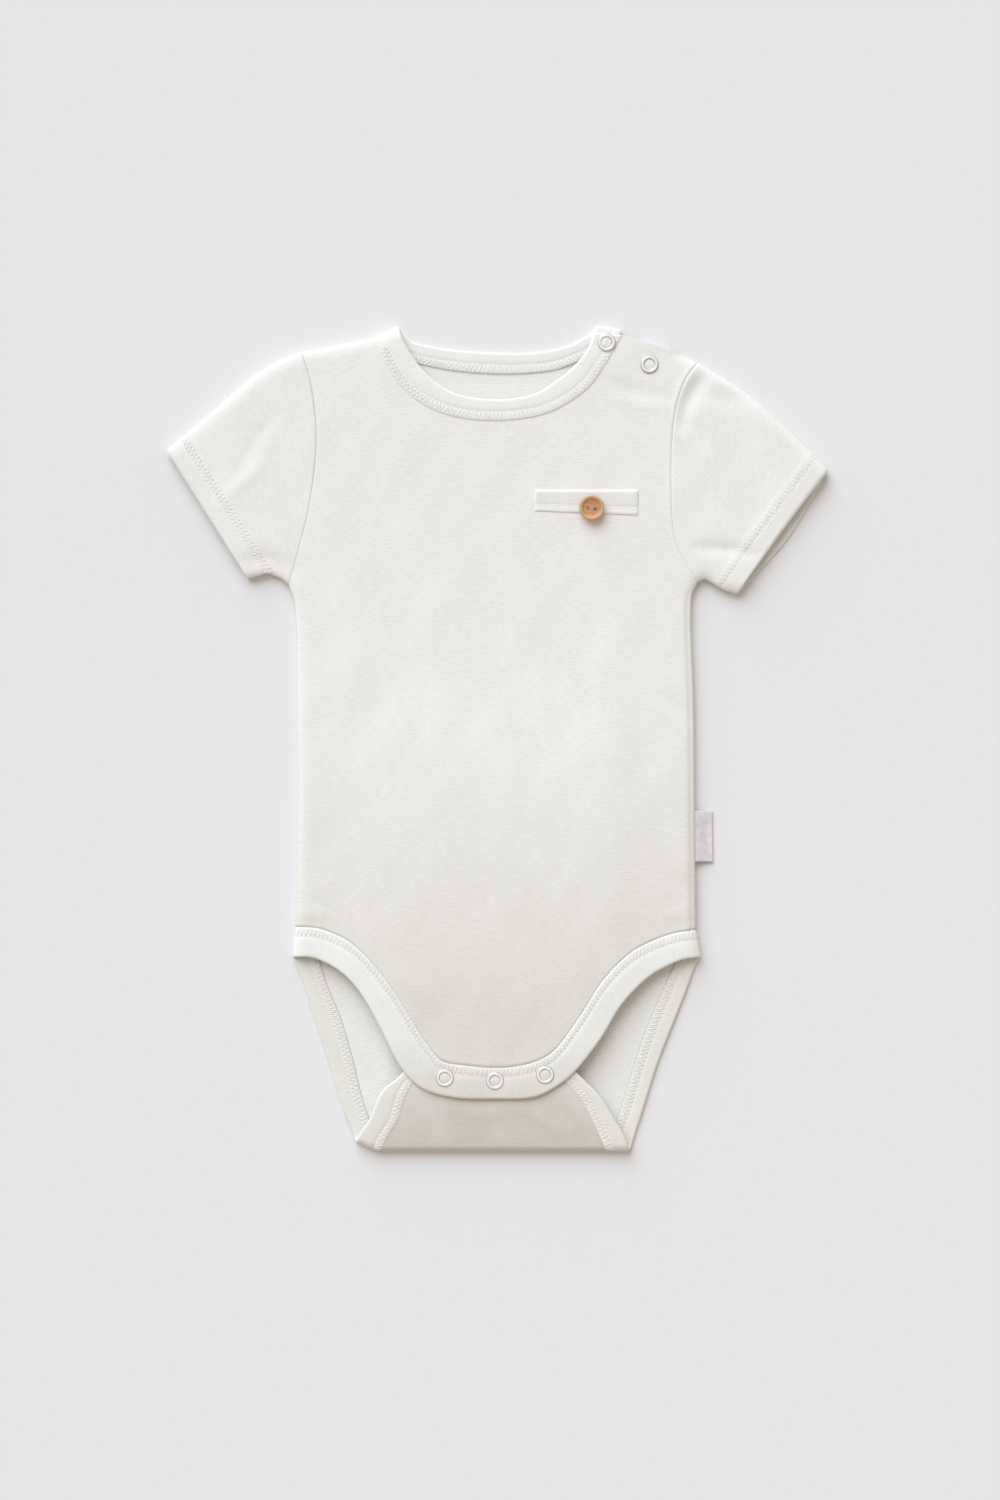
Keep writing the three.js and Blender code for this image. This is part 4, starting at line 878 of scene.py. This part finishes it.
def hem_threads(cuff, over_arm, under_arm, side):
    """The coverstitch of one side of a sleeve hem, on the outside of the cloth."""
    line = curve(cuff)
    run = line[-1] - line[0]
    run /= np.linalg.norm(run)
    inward = np.array([-run[1], run[0]])
    inward *= np.sign(inward @ (CHEST + [0, 80] - line[0]))
    rails = []
    for needle in NEEDLE_LINES[::-1]:
        rail = line + inward * (HEM_DEPTH - needle)
        rail = joined([rail[0] - run * 9, rail[0]], rail, [rail[-1], rail[-1] + run * 9])
        rail = points_at(rail, np.linspace(0, run_of(rail)[-1], 240))
        rail = rail[same_side(rail, over_arm) & same_side(rail, under_arm)]
        rail = points_at(rail, np.linspace(0.8, run_of(rail)[-1] - 0.8, 70))
        middle, normal = layer(rail, side, 0)
        rails.append(middle + normal * (CLOTH / 2 + (0.08 if side > 0 else 0)))
    return coverstitch_threads(*rails, normal)


hem_stitches = []
for side, left_cuff in ((1, CUFF_LEFT_FRONT), (-1, CUFF_LEFT_BACK)):
    hem_stitches += hem_threads(CUFF_RIGHT, SLEEVE_TOP_RIGHT, UNDERARM_RIGHT, side)
    hem_stitches += hem_threads(left_cuff, SLEEVE_TOP_LEFT, UNDERARM_LEFT, side)
sewn("coverstitch_sleeves", hem_stitches)

# Back leg band: the same folded strip, down one leg edge of the back, up the tab, across its end
# and down the other side. Its inside shows in the leg holes and its outside on the tab.
LEVEL_FROM = FOLD_START_Y + 16
LEVEL_BY = FOLD_START_Y + 8


def back_edge(leg, tab):
    """Sewn and free edges of one side, level with each other near the fold."""
    seam, free = leg_line(leg, tab, "seam"), leg_line(leg, tab, "free")
    level = 1 - smooth(seam[:, 1], LEVEL_BY, LEVEL_FROM)
    level *= 1 - smooth(-seam[:, 1], -corner_row - 12, -corner_row - 3)
    free[:, 1] += (seam[:, 1] - free[:, 1]) * level
    return seam, free


right_seam, right_free = back_edge(LEG_BACK_RIGHT, TAB_RIGHT)
left_seam, left_free = back_edge(LEG_BACK_LEFT, TAB_LEFT)
end_seam = np.linspace(right_seam[-1], left_seam[-1], 42)[1:-1]
end_free = np.column_stack([end_seam[:, 0], np.full(len(end_seam), unfolded(TAB_END))])
back_seam = np.vstack([right_seam, end_seam, left_seam[::-1]])
back_free = np.vstack([right_free, end_free, left_free[::-1]])
back_thick = thick_near(from_ends(back_seam))
on_table = 1 - smooth(FOLD_START_Y - back_seam[:, 1], 0, FOLD_LENGTH)
back_lift = (-(back_thick - CLOTH) / 2 * on_table)[:, None]
back_leg_band, band_middle, band_normal, band_half = strip(
    "back_leg_band", back_seam, back_free, back_thick, folded_back, back_lift
)
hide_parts("leg_binding_back")
inner_rails = strip_rails(band_middle, band_normal, band_half, -1)
outer_rails = strip_rails(band_middle, band_normal, band_half, 1)
fold_line = int(np.argmax(right_seam[:, 1] < FOLD_START_Y - FOLD_LENGTH / 2))
last = len(back_seam)
back_threads = []
for first, stop in ((2, fold_line), (last - fold_line, last - 2)):
    back_threads += coverstitch_threads(*(rail[first:stop] for rail in inner_rails))
back_threads += coverstitch_threads(*(rail[fold_line:last - fold_line] for rail in outer_rails))
sewn("coverstitch_back_legs", back_threads)

# Neck band: one folded strip round the neck, open at the snapped left shoulder. It folds over at
# the right shoulder, and its back end turns under the front end at the left one.
NECK_BACK_FREE = [
    (-51.2, 213.6), (-48.1, 210.2), (-43.5, 206.2), (-30.0, 203.3), (-17.0, 201.7), (0.5, 200.8),
    (17.5, 200.8), (29.5, 202.5), (39.0, 205.2), (46.0, 209.2), (51.0, 213.4),
]
NECK_TURN = 0.95         # radius of the turn at the left shoulder
NECK_UNDERLAP = 11.0
NECK_STATIONS = 150

back_neck = [walk(line, NECK_STATIONS, True) for line in (NECK_BACK_SEAM, NECK_BACK_FREE)]
front_neck = [walk(line, NECK_STATIONS, True) for line in (NECK_FRONT_SEAM, NECK_FRONT_FREE)]
turn_angles = np.linspace(math.pi, 0, 14)[:-1]
turn_reach = np.concatenate([np.linspace(NECK_UNDERLAP, 0, 7), np.zeros(len(turn_angles) - 1)])
turn_angles = np.concatenate([np.full(6, math.pi), turn_angles])
turned_count = len(turn_angles)
neck_seam = np.vstack([np.tile(back_neck[0][-1], (turned_count, 1)), back_neck[0][:0:-1], front_neck[0]])
neck_free = np.vstack([np.tile(back_neck[1][-1], (turned_count, 1)), back_neck[1][:0:-1], front_neck[1]])
on_back = slice(turned_count, turned_count + NECK_STATIONS - 1)
on_front = slice(turned_count + NECK_STATIONS - 1, None)
from_fold = np.linalg.norm(neck_seam - neck_seam[-NECK_STATIONS], axis=1)
from_back_end = np.linalg.norm(neck_seam - back_neck[0][-1], axis=1)
neck_thick = thick_near(from_fold + 4)
neck_thick[on_back] = thick_near(np.minimum(from_fold, from_back_end)[on_back])
neck_thick[:turned_count] = BINDING_END
neck_lift = np.zeros(len(neck_seam))
neck_lift[on_back] = (-(neck_thick - CLOTH) / 2 * smooth(from_fold, 0, BACK_ROLL))[on_back]
neck_lift[on_front] = STRIP_LIFT


def neck_surface(plan):
    """The turned end, the back of the neck and the front of the neck, one after the other."""
    back_part = layer(plan[on_back], -1, 0)
    front_part = layer(plan[on_front], 1, 0)
    ends = plan[:turned_count]
    angle, reach = turn_angles[:, None], turn_reach[:, None]
    middle = np.stack([
        ends[..., 0] - reach * 0.25,
        ends[..., 1] + NECK_TURN * np.sin(angle) - reach,
        BINDING_END / 2 + NECK_TURN * (1 - np.cos(angle)) + 0 * ends[..., 0],
    ], -1)
    level = 0 * ends[..., 0]
    normal = np.stack([level, np.sin(angle) + level, -np.cos(angle) + level], -1)
    return tuple(np.concatenate(parts) for parts in zip((middle, normal), back_part, front_part))


neck_band, neck_middle, neck_normal, neck_half = strip(
    "neck_band", neck_seam, neck_free, neck_thick, neck_surface, neck_lift[:, None]
)
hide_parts("neck_binding")
inner_rails = strip_rails(neck_middle, neck_normal, neck_half, -1)
outer_rails = strip_rails(neck_middle, neck_normal, neck_half, 1)
sewn_back = slice(turned_count, turned_count + NECK_STATIONS - 9)
sewn_front = slice(9 - NECK_STATIONS, -3)
neck_threads = coverstitch_threads(*(rail[sewn_back] for rail in inner_rails))
neck_threads += coverstitch_threads(*(rail[sewn_front] for rail in outer_rails))
sewn("coverstitch_neck", neck_threads)

# Shoulder underlap: a strip of the back's own interlock, folded up over the left shoulder edge
# and under the front. It carries the studs that the front's shoulder snaps press on to.
UNDERLAP = {"radius": 1.3, "depth": 19.0, "from_neck": 10.0, "from_arm": 16.0}
shoulder_line = curve(SHOULDER_LEFT)
underlap_length = run_of(shoulder_line)[-1] - UNDERLAP["from_neck"] - UNDERLAP["from_arm"]
underlap_edge = points_at(shoulder_line, UNDERLAP["from_neck"] + np.linspace(0, underlap_length, 24))
along_edge = (underlap_edge[-1] - underlap_edge[0]) / np.linalg.norm(underlap_edge[-1] - underlap_edge[0])
across_edge = np.array([-along_edge[1], along_edge[0]])
lap_angles = np.concatenate([np.linspace(0, math.pi, 13), np.full(12, math.pi)])[:, None, None]
lap_reach = np.concatenate([np.zeros(13), np.linspace(0, UNDERLAP["depth"], 13)[1:]])[:, None, None]
lap_plan = underlap_edge + across_edge * (UNDERLAP["radius"] * (np.sin(lap_angles) - 1) - lap_reach)
lap_height = FLOOR_MID + UNDERLAP["radius"] * (1 - np.cos(lap_angles))
lap_height = np.broadcast_to(lap_height, lap_plan[..., :1].shape)
lap_normal = [across_edge * np.sin(lap_angles) + 0 * lap_plan, 0 * lap_height - np.cos(lap_angles)]
lap_flat = np.stack([
    np.broadcast_to(run_of(underlap_edge), lap_height.shape[:2]),
    np.broadcast_to((UNDERLAP["radius"] * lap_angles + lap_reach)[..., 0], lap_height.shape[:2]),
], -1)
underlap = shell(
    "shoulder_lap",
    np.concatenate([lap_plan, lap_height], -1),
    np.concatenate(lap_normal, -1),
    np.full(lap_height.shape[:2], CLOTH / 2),
    lap_flat,
)
underlap.data.materials.append(jersey)
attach(underlap, "root")
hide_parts("shoulder_underlap")

# Pocket tab: a mock welt, one folded strip of the interlock with a narrow lip along its lower
# edge. It is topstitched above the lip and bar-tacked at both ends.
WELT = {"left": 19.5, "right": 73.1, "top": 129.0, "bottom_left": 117.8, "bottom_right": 115.6}
# Its thickness down it: a share of its height, and how thick it is there
WELT_THICK = [
    (0, 0.15), (0.03, 0.7), (0.08, 0.95), (0.14, 1.0), (0.22, 0.92), (0.4, 0.78), (0.58, 0.6),
    (0.65, 0.46), (0.69, 0.42), (0.74, 0.5), (0.79, 0.46), (0.84, 0.56), (0.9, 0.6), (0.95, 0.5),
    (0.98, 0.36), (1, 0.15),
]
NEEDLE_DOWN = (0.68, 0.79)   # where its two rows of topstitching run, as shares of its height
TACK_WIDTH = 2.7
LEFT_TACK_AT = [0, 0.3, 0.8, 1.4, 2.1, 2.7, 3.1]
RIGHT_TACK_AT = [50.5, 50.9, 51.5, 52.2, 52.8, 53.3, 53.6]

welt_down = np.concatenate([
    np.linspace(0, 0.2, 10)[:-1], np.linspace(0.2, 0.56, 10)[:-1], np.linspace(0.56, 1, 38),
])
welt_across = np.concatenate([LEFT_TACK_AT, np.linspace(3.8, 49.8, 52), RIGHT_TACK_AT])
welt_x = np.broadcast_to(WELT["left"] + welt_across, (len(welt_down), len(welt_across)))
low_edge = WELT["bottom_left"] + (WELT["bottom_right"] - WELT["bottom_left"]) * welt_across / welt_across[-1]
welt_y = WELT["top"] + (low_edge - WELT["top"]) * welt_down[:, None]
welt_thick = np.interp(welt_down, *zip(*WELT_THICK))[:, None] + 0 * welt_x
from_end = np.minimum(welt_across, welt_across[-1] - welt_across)
tacked = 0.12 * np.exp(-(((from_end - TACK_WIDTH / 2 - 0.2) / 0.9) ** 2))
welt_thick = np.maximum(welt_thick * rounded(from_end + 0.1, 1.0) - tacked, 0.2)
welt_middle, welt_normal = layer(np.stack([welt_x, welt_y], -1), 1)
welt_middle = welt_middle + welt_normal * (CLOTH / 2 - 0.06 + welt_thick / 2)[..., None]
pocket = shell("pocket_welt", welt_middle, welt_normal, welt_thick / 2, np.stack([welt_x, welt_y], -1))
pocket.data.materials.append(jersey)
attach(pocket, "root")
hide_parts("pocket_tab")

welt_skin = welt_middle + welt_normal * (welt_thick / 2)[..., None]
welt_threads = []
for down in NEEDLE_DOWN:
    row = welt_skin[np.argmin(np.abs(welt_down - down))]
    run = run_of(row)
    stitches = np.arange(TACK_WIDTH, run[-1] - TACK_WIDTH, 0.55)
    path = points_at(np.column_stack([row, run]), stitches)[:, :3]
    path[:, 2] += 0.16 * np.abs(np.sin(math.pi * stitches / STITCH)) - 0.12
    welt_threads.append(thread_tube(path, np.array([0, 0, 1.0]), THREAD))
for start in (0.35, welt_across[-1] - TACK_WIDTH - 0.1):
    heights = np.arange(0.04, 0.97, 0.014)
    swing = 0.5 + 0.5 * np.cos(2 * math.pi * heights / 0.112)
    columns = np.clip(start + swing * (TACK_WIDTH - 0.3), 0, welt_across[-1])
    rows = np.interp(heights, welt_down, np.arange(len(welt_down)))
    places = np.interp(columns, welt_across, np.arange(len(welt_across)))
    low, share = rows.astype(int), (rows % 1)[:, None]
    column, part = places.astype(int), (places % 1)[:, None]
    near_row = welt_skin[low, column] * (1 - part) + welt_skin[low, column + 1] * part
    next_row = welt_skin[low + 1, column] * (1 - part) + welt_skin[low + 1, column + 1] * part
    path = near_row * (1 - share) + next_row * share
    welt_threads.append(thread_tube(path, np.array([0, 0, 1.0]), THREAD * 0.9))
sewn("stitches_pocket", welt_threads)

# Button: turned from pale brown wood, with a raised rim and a dished middle, and sewn on through
# its two holes with a lilac grey thread.
BUTTON = {"centre": (48.9, 119.3), "base": 8.0, "radius": 6.5, "rim": 2.3, "dish": 1.35}
HOLES = [(-2.1, 0.25), (1.8, -0.5)]
HOLE_RADIUS = 0.9


def only(piece):
    """Select one piece and nothing else."""
    bpy.ops.object.select_all(action="DESELECT")
    piece.select_set(True)
    bpy.context.view_layer.objects.active = piece


def settle(piece):
    """Leave a piece's place in its mesh."""
    only(piece)
    bpy.ops.object.transform_apply(location=True, rotation=True, scale=True)
    bpy.ops.object.select_all(action="DESELECT")


def pick(piece, wanted):
    """Select the faces of a piece in edit mode that a test on their middle and normal wants."""
    bpy.ops.object.mode_set(mode="OBJECT")
    for face in piece.data.polygons:
        face.select = wanted(face.center, face.normal)
    for edge in piece.data.edges:
        edge.select = False
    for corner in piece.data.vertices:
        corner.select = False
    for face in piece.data.polygons:
        if face.select:
            for corner in face.vertices:
                piece.data.vertices[corner].select = True
    bpy.ops.object.mode_set(mode="EDIT")
    bpy.ops.mesh.select_mode(type="FACE")


button_height = BUTTON["rim"] * MM
bpy.ops.mesh.primitive_cylinder_add(vertices=96, radius=BUTTON["radius"] * MM, depth=button_height)
button = bpy.context.object
button.name = "wooden_button"
pick(button, lambda middle, normal: normal.z > 0.9)
bpy.ops.mesh.inset(thickness=1.45 * MM)
bpy.ops.mesh.inset(thickness=0.75 * MM)
bpy.ops.transform.translate(value=(0, 0, -(BUTTON["rim"] - BUTTON["dish"]) * MM))
bpy.ops.object.mode_set(mode="OBJECT")
bevel = button.modifiers.new("turned edges", "BEVEL")
bevel.width = 0.5 * MM
bevel.segments = 4
bevel.limit_method = "ANGLE"
bevel.angle_limit = math.radians(25)
only(button)
bpy.ops.object.modifier_apply(modifier=bevel.name)
for x, y in HOLES:
    bpy.ops.mesh.primitive_cylinder_add(
        vertices=32, radius=HOLE_RADIUS * MM, depth=0.01, location=(x * MM, y * MM, 0)
    )
    drill = bpy.context.object
    cut = button.modifiers.new("thread hole", "BOOLEAN")
    cut.object = drill
    cut.operation = "DIFFERENCE"
    cut.solver = "EXACT"
    only(button)
    bpy.ops.object.modifier_apply(modifier=cut.name)
    bpy.data.objects.remove(drill)
button.location = (
    BUTTON["centre"][0] * MM,
    BUTTON["centre"][1] * MM,
    BUTTON["base"] * MM + button_height / 2,
)
settle(button)
only(button)
bpy.ops.object.shade_smooth_by_angle(angle=math.radians(35))
bpy.ops.object.select_all(action="DESELECT")

wood = bpy.data.materials.new("waxed beech")
wood.use_nodes = True
make_wood = node_maker(wood)
wood_at = make_wood("ShaderNodeTexCoord", 3)
grain_at = make_wood("ShaderNodeMapping", 0, {
    "Vector": wood_at, "Rotation": (0, 0, 0.35), "Scale": (160, 1500, 400),
})
grain = make_wood("ShaderNodeTexNoise", 0, {
    "Vector": grain_at, "Scale": 1.0, "Detail": 4.0, "Distortion": 0.6,
})
wood_tone = make_wood("ShaderNodeValToRGB", 0, {"Fac": grain})
wood_tone.node.color_ramp.elements[0].position = 0.34
wood_tone.node.color_ramp.elements[0].color = (0.44, 0.205, 0.085, 1)
wood_tone.node.color_ramp.elements[1].position = 0.66
wood_tone.node.color_ramp.elements[1].color = (0.66, 0.35, 0.155, 1)
turned_share = make_wood("ShaderNodeMapRange", 0, {
    "Value": make_wood("ShaderNodeSeparateXYZ", 2, {0: wood_at}),
    "From Min": (BUTTON["base"] + BUTTON["dish"] + 0.1) * MM,
    "From Max": (BUTTON["base"] + BUTTON["rim"]) * MM,
})
rim_tone = make_wood("ShaderNodeMix", 2, {0: turned_share, 6: wood_tone}, data_type="RGBA")
rim_tone.node.inputs[7].default_value = (0.6, 0.36, 0.17, 1)
wood_bump = make_wood("ShaderNodeBump", 0, {"Height": grain, "Distance": 0.00008, "Strength": 0.6})
wood_surface = wood.node_tree.nodes["Principled BSDF"]
wood.node_tree.links.new(rim_tone, wood_surface.inputs["Base Color"])
wood.node_tree.links.new(wood_bump, wood_surface.inputs["Normal"])
wood_surface.inputs["Roughness"].default_value = 0.42
button.data.materials.append(wood)
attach(button, "root")
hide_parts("button")

lilac = speckled("lilac grey thread", (0.3, 0.22, 0.27), (0.6, 0.5, 0.55), scale=3000.0, roughness=0.6)[0]

THREAD_SUNK = (0.15, 0.75)   # how far its thread lies below the dish in each hole
THREAD_FROM = 6.0            # height that it comes from, in the cloth
button_threads = []
seat = np.array([*BUTTON["centre"], 0])
for shift in (-0.33, 0.02, 0.36):
    for (x, y), sunk in zip(HOLES, THREAD_SUNK):
        top = BUTTON["base"] + BUTTON["dish"] - sunk
        path = seat + np.array([
            (x + shift * 0.7, y - 0.75, THREAD_FROM),
            (x + shift, y - 0.62, top - 0.5),
            (x + shift, y - 0.3, top),
            (x + shift, y + 0.3, top),
            (x + shift, y + 0.62, top - 0.5),
            (x + shift * 0.7, y + 0.75, THREAD_FROM),
        ])
        path = points_at(path, np.linspace(0, run_of(path)[-1], 22))
        button_threads.append(thread_tube(path, np.array([1.0, 0, 0.1]), THREAD))
sewn("button_thread", button_threads, lilac)

# Side label: a smooth woven ribbon folded into a loop and caught in the left side seam, from
# which it droops to the table. The real one's printed side is left bare.
LABEL = {"top": -38.0, "bottom": -64.5, "reach": 9.2, "tip": 0.75, "layer": 0.32, "apart": 0.42}
label_y = np.linspace(LABEL["top"], LABEL["bottom"], 34)
IN_SEAM, AT_TIP = -0.18, 0.955   # where a layer starts and ends, as shares of the reach
out_share = np.linspace(IN_SEAM, AT_TIP, 22)
out_share = np.concatenate([out_share, np.full(7, AT_TIP), out_share[::-1]])
label_turn = np.concatenate([np.zeros(22), np.linspace(0, math.pi, 9)[1:-1], np.full(22, math.pi)])
seam_x = np.interp(-label_y, -curve(SIDE_LEFT)[:, 1], curve(SIDE_LEFT)[:, 0]) + CLOTH / 2
out_x = seam_x + LABEL["reach"] * out_share[:, None] + LABEL["apart"] * np.sin(label_turn)[:, None]
droop = SEAM_MID + (LABEL["tip"] - SEAM_MID) * smooth(out_share, 0, 0.9)[:, None]
ripple = 0.12 * np.sin((label_y + 40) / 5.5) * smooth(out_share, 0.1, 1)[:, None]
label_z = droop + ripple + LABEL["apart"] * np.cos(label_turn)[:, None]
label_middle = np.stack([out_x, label_y + 0 * out_x, np.maximum(label_z, LABEL["layer"] / 2 + 0.02)], -1)
label_normal = np.stack([
    np.sin(label_turn)[:, None] + 0 * out_x,
    0 * out_x,
    np.cos(label_turn)[:, None] + 0 * out_x,
], -1)
label_flat = np.stack([label_y + 0 * out_x, run_of(label_middle[:, 0])[:, None] + 0 * out_x], -1)
label = shell("woven_label", label_middle, label_normal, np.full(out_x.shape, LABEL["layer"] / 2), label_flat)

ribbon = bpy.data.materials.new("woven ribbon")
ribbon.use_nodes = True
make_ribbon = node_maker(ribbon)
ribbon_at = make_ribbon("ShaderNodeUVMap", uv_map="flat")
ribbon_parts = make_ribbon("ShaderNodeSeparateXYZ", 0, {0: ribbon_at})
ribbon_down = ribbon_parts.node.outputs[1]
weft = make_ribbon("ShaderNodeMath", 0, {0: ribbon_parts, 1: 2 * math.pi / 0.00042}, operation="MULTIPLY")
weft = make_ribbon("ShaderNodeMath", 0, {0: weft}, operation="SINE")
warp = make_ribbon("ShaderNodeMath", 0, {0: ribbon_down, 1: 2 * math.pi / 0.00055}, operation="MULTIPLY")
warp = make_ribbon("ShaderNodeMath", 0, {0: warp}, operation="SINE")
weave = make_ribbon("ShaderNodeMath", 0, {0: weft, 1: warp}, operation="MULTIPLY")
uneven = make_ribbon("ShaderNodeTexNoise", 0, {"Vector": ribbon_at, "Scale": 260.0, "Detail": 3.0})
ribbon_mix = make_ribbon("ShaderNodeMath", 0, {0: weave, 1: 0.12, 2: uneven}, operation="MULTIPLY_ADD")
ribbon_tone = make_ribbon("ShaderNodeValToRGB", 0, {"Fac": ribbon_mix})
ribbon_tone.node.color_ramp.elements[0].position = 0.3
ribbon_tone.node.color_ramp.elements[0].color = (0.68, 0.645, 0.66, 1)
ribbon_tone.node.color_ramp.elements[1].position = 0.7
ribbon_tone.node.color_ramp.elements[1].color = (0.82, 0.79, 0.8, 1)
ribbon_bump = make_ribbon("ShaderNodeBump", 0, {"Height": weave, "Distance": 0.00004, "Strength": 0.7})
satin = ribbon.node_tree.nodes["Principled BSDF"]
ribbon.node_tree.links.new(ribbon_tone, satin.inputs["Base Color"])
ribbon.node_tree.links.new(ribbon_bump, satin.inputs["Normal"])
satin.inputs["Roughness"].default_value = 0.5
satin.inputs["Specular IOR Level"].default_value = 0.3
label.data.materials.append(ribbon)
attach(label, "root")
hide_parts("side_label")

# Snaps: open ring snaps of white enamelled brass. The ring's prongs go through the cloth, which
# domes up in its middle, and are clenched in a socket or a stud between the layers.
RING = {"outer": 4.6, "inner": 2.7, "height": 0.34}

# Its rounded top: shares of the width from its outer edge in, and of the height
RING_PROFILE = ((0.16, 0.55), (0.3, 0.9), (0.5, 1.0), (0.7, 0.9), (0.84, 0.55), (1.0, 0.0))
RING_SUNK = 0.05         # into the cloth

enamel, glaze, _ = speckled("white enamel", (0.8, 0.79, 0.76), (0.87, 0.865, 0.84), 900.0, 0.45)
glaze.inputs["Specular IOR Level"].default_value = 0.3
# The rings' lower sides: bare metal, painted darker than the metal as a shade outline round each ring
edge_metal_and_painted_shade, brass, _ = speckled("snap edge, bare metal and painted shade", (0.34, 0.33, 0.31), (0.5, 0.49, 0.47), 1500.0, 0.4)
brass.inputs["Metallic"].default_value = 0.6

for place, (x, y) in SNAPS.items():
    cloth_top = layer(np.array([[x, y]]), 1)[0][0, 2] + (CLOTH if place == "shoulder" else BINDING * 0.9) / 2
    width = (RING["outer"] - RING["inner"]) * MM
    bpy.ops.mesh.primitive_circle_add(vertices=64, radius=RING["outer"] * MM, fill_type="NOTHING")
    ring = bpy.context.object
    ring.name = "snap_cap_" + place
    bpy.ops.object.mode_set(mode="EDIT")
    bpy.ops.mesh.select_mode(type="VERT")
    bpy.ops.mesh.select_all(action="SELECT")
    for share, rise in RING_PROFILE:
        radius = RING["outer"] * MM - width * share
        bpy.ops.mesh.extrude_edges_move()
        bpy.ops.object.mode_set(mode="OBJECT")
        for corner in ring.data.vertices:
            if corner.select:
                flat_part = Vector((corner.co.x, corner.co.y, 0)).normalized() * radius
                corner.co = (flat_part.x, flat_part.y, RING["height"] * MM * rise)
        bpy.ops.object.mode_set(mode="EDIT")
    bpy.ops.mesh.select_all(action="DESELECT")
    bpy.ops.mesh.select_non_manifold()
    bpy.ops.mesh.bridge_edge_loops()
    bpy.ops.mesh.select_all(action="SELECT")
    bpy.ops.mesh.normals_make_consistent(inside=False)
    bpy.ops.object.mode_set(mode="OBJECT")
    ring.data.materials.append(enamel)
    ring.data.materials.append(edge_metal_and_painted_shade)
    # Painted shade and bare metal: the lower faces of the ring take the dark edge metal, outlining the ring
    for face in ring.data.polygons:
        face.material_index = int(face.center.z < 0.4 * RING["height"] * MM)
    ring.location = (x * MM, y * MM, (cloth_top - RING_SUNK) * MM)
    settle(ring)
    only(ring)
    bpy.ops.object.shade_smooth_by_angle(angle=math.radians(50))
    bpy.ops.object.select_all(action="DESELECT")
    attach(ring, "root")
    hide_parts("snap_ring_" + place)
    socket = bpy.data.objects["snap_socket_" + place]
    socket.data.materials.clear()
    socket.data.materials.append(edge_metal_and_painted_shade)
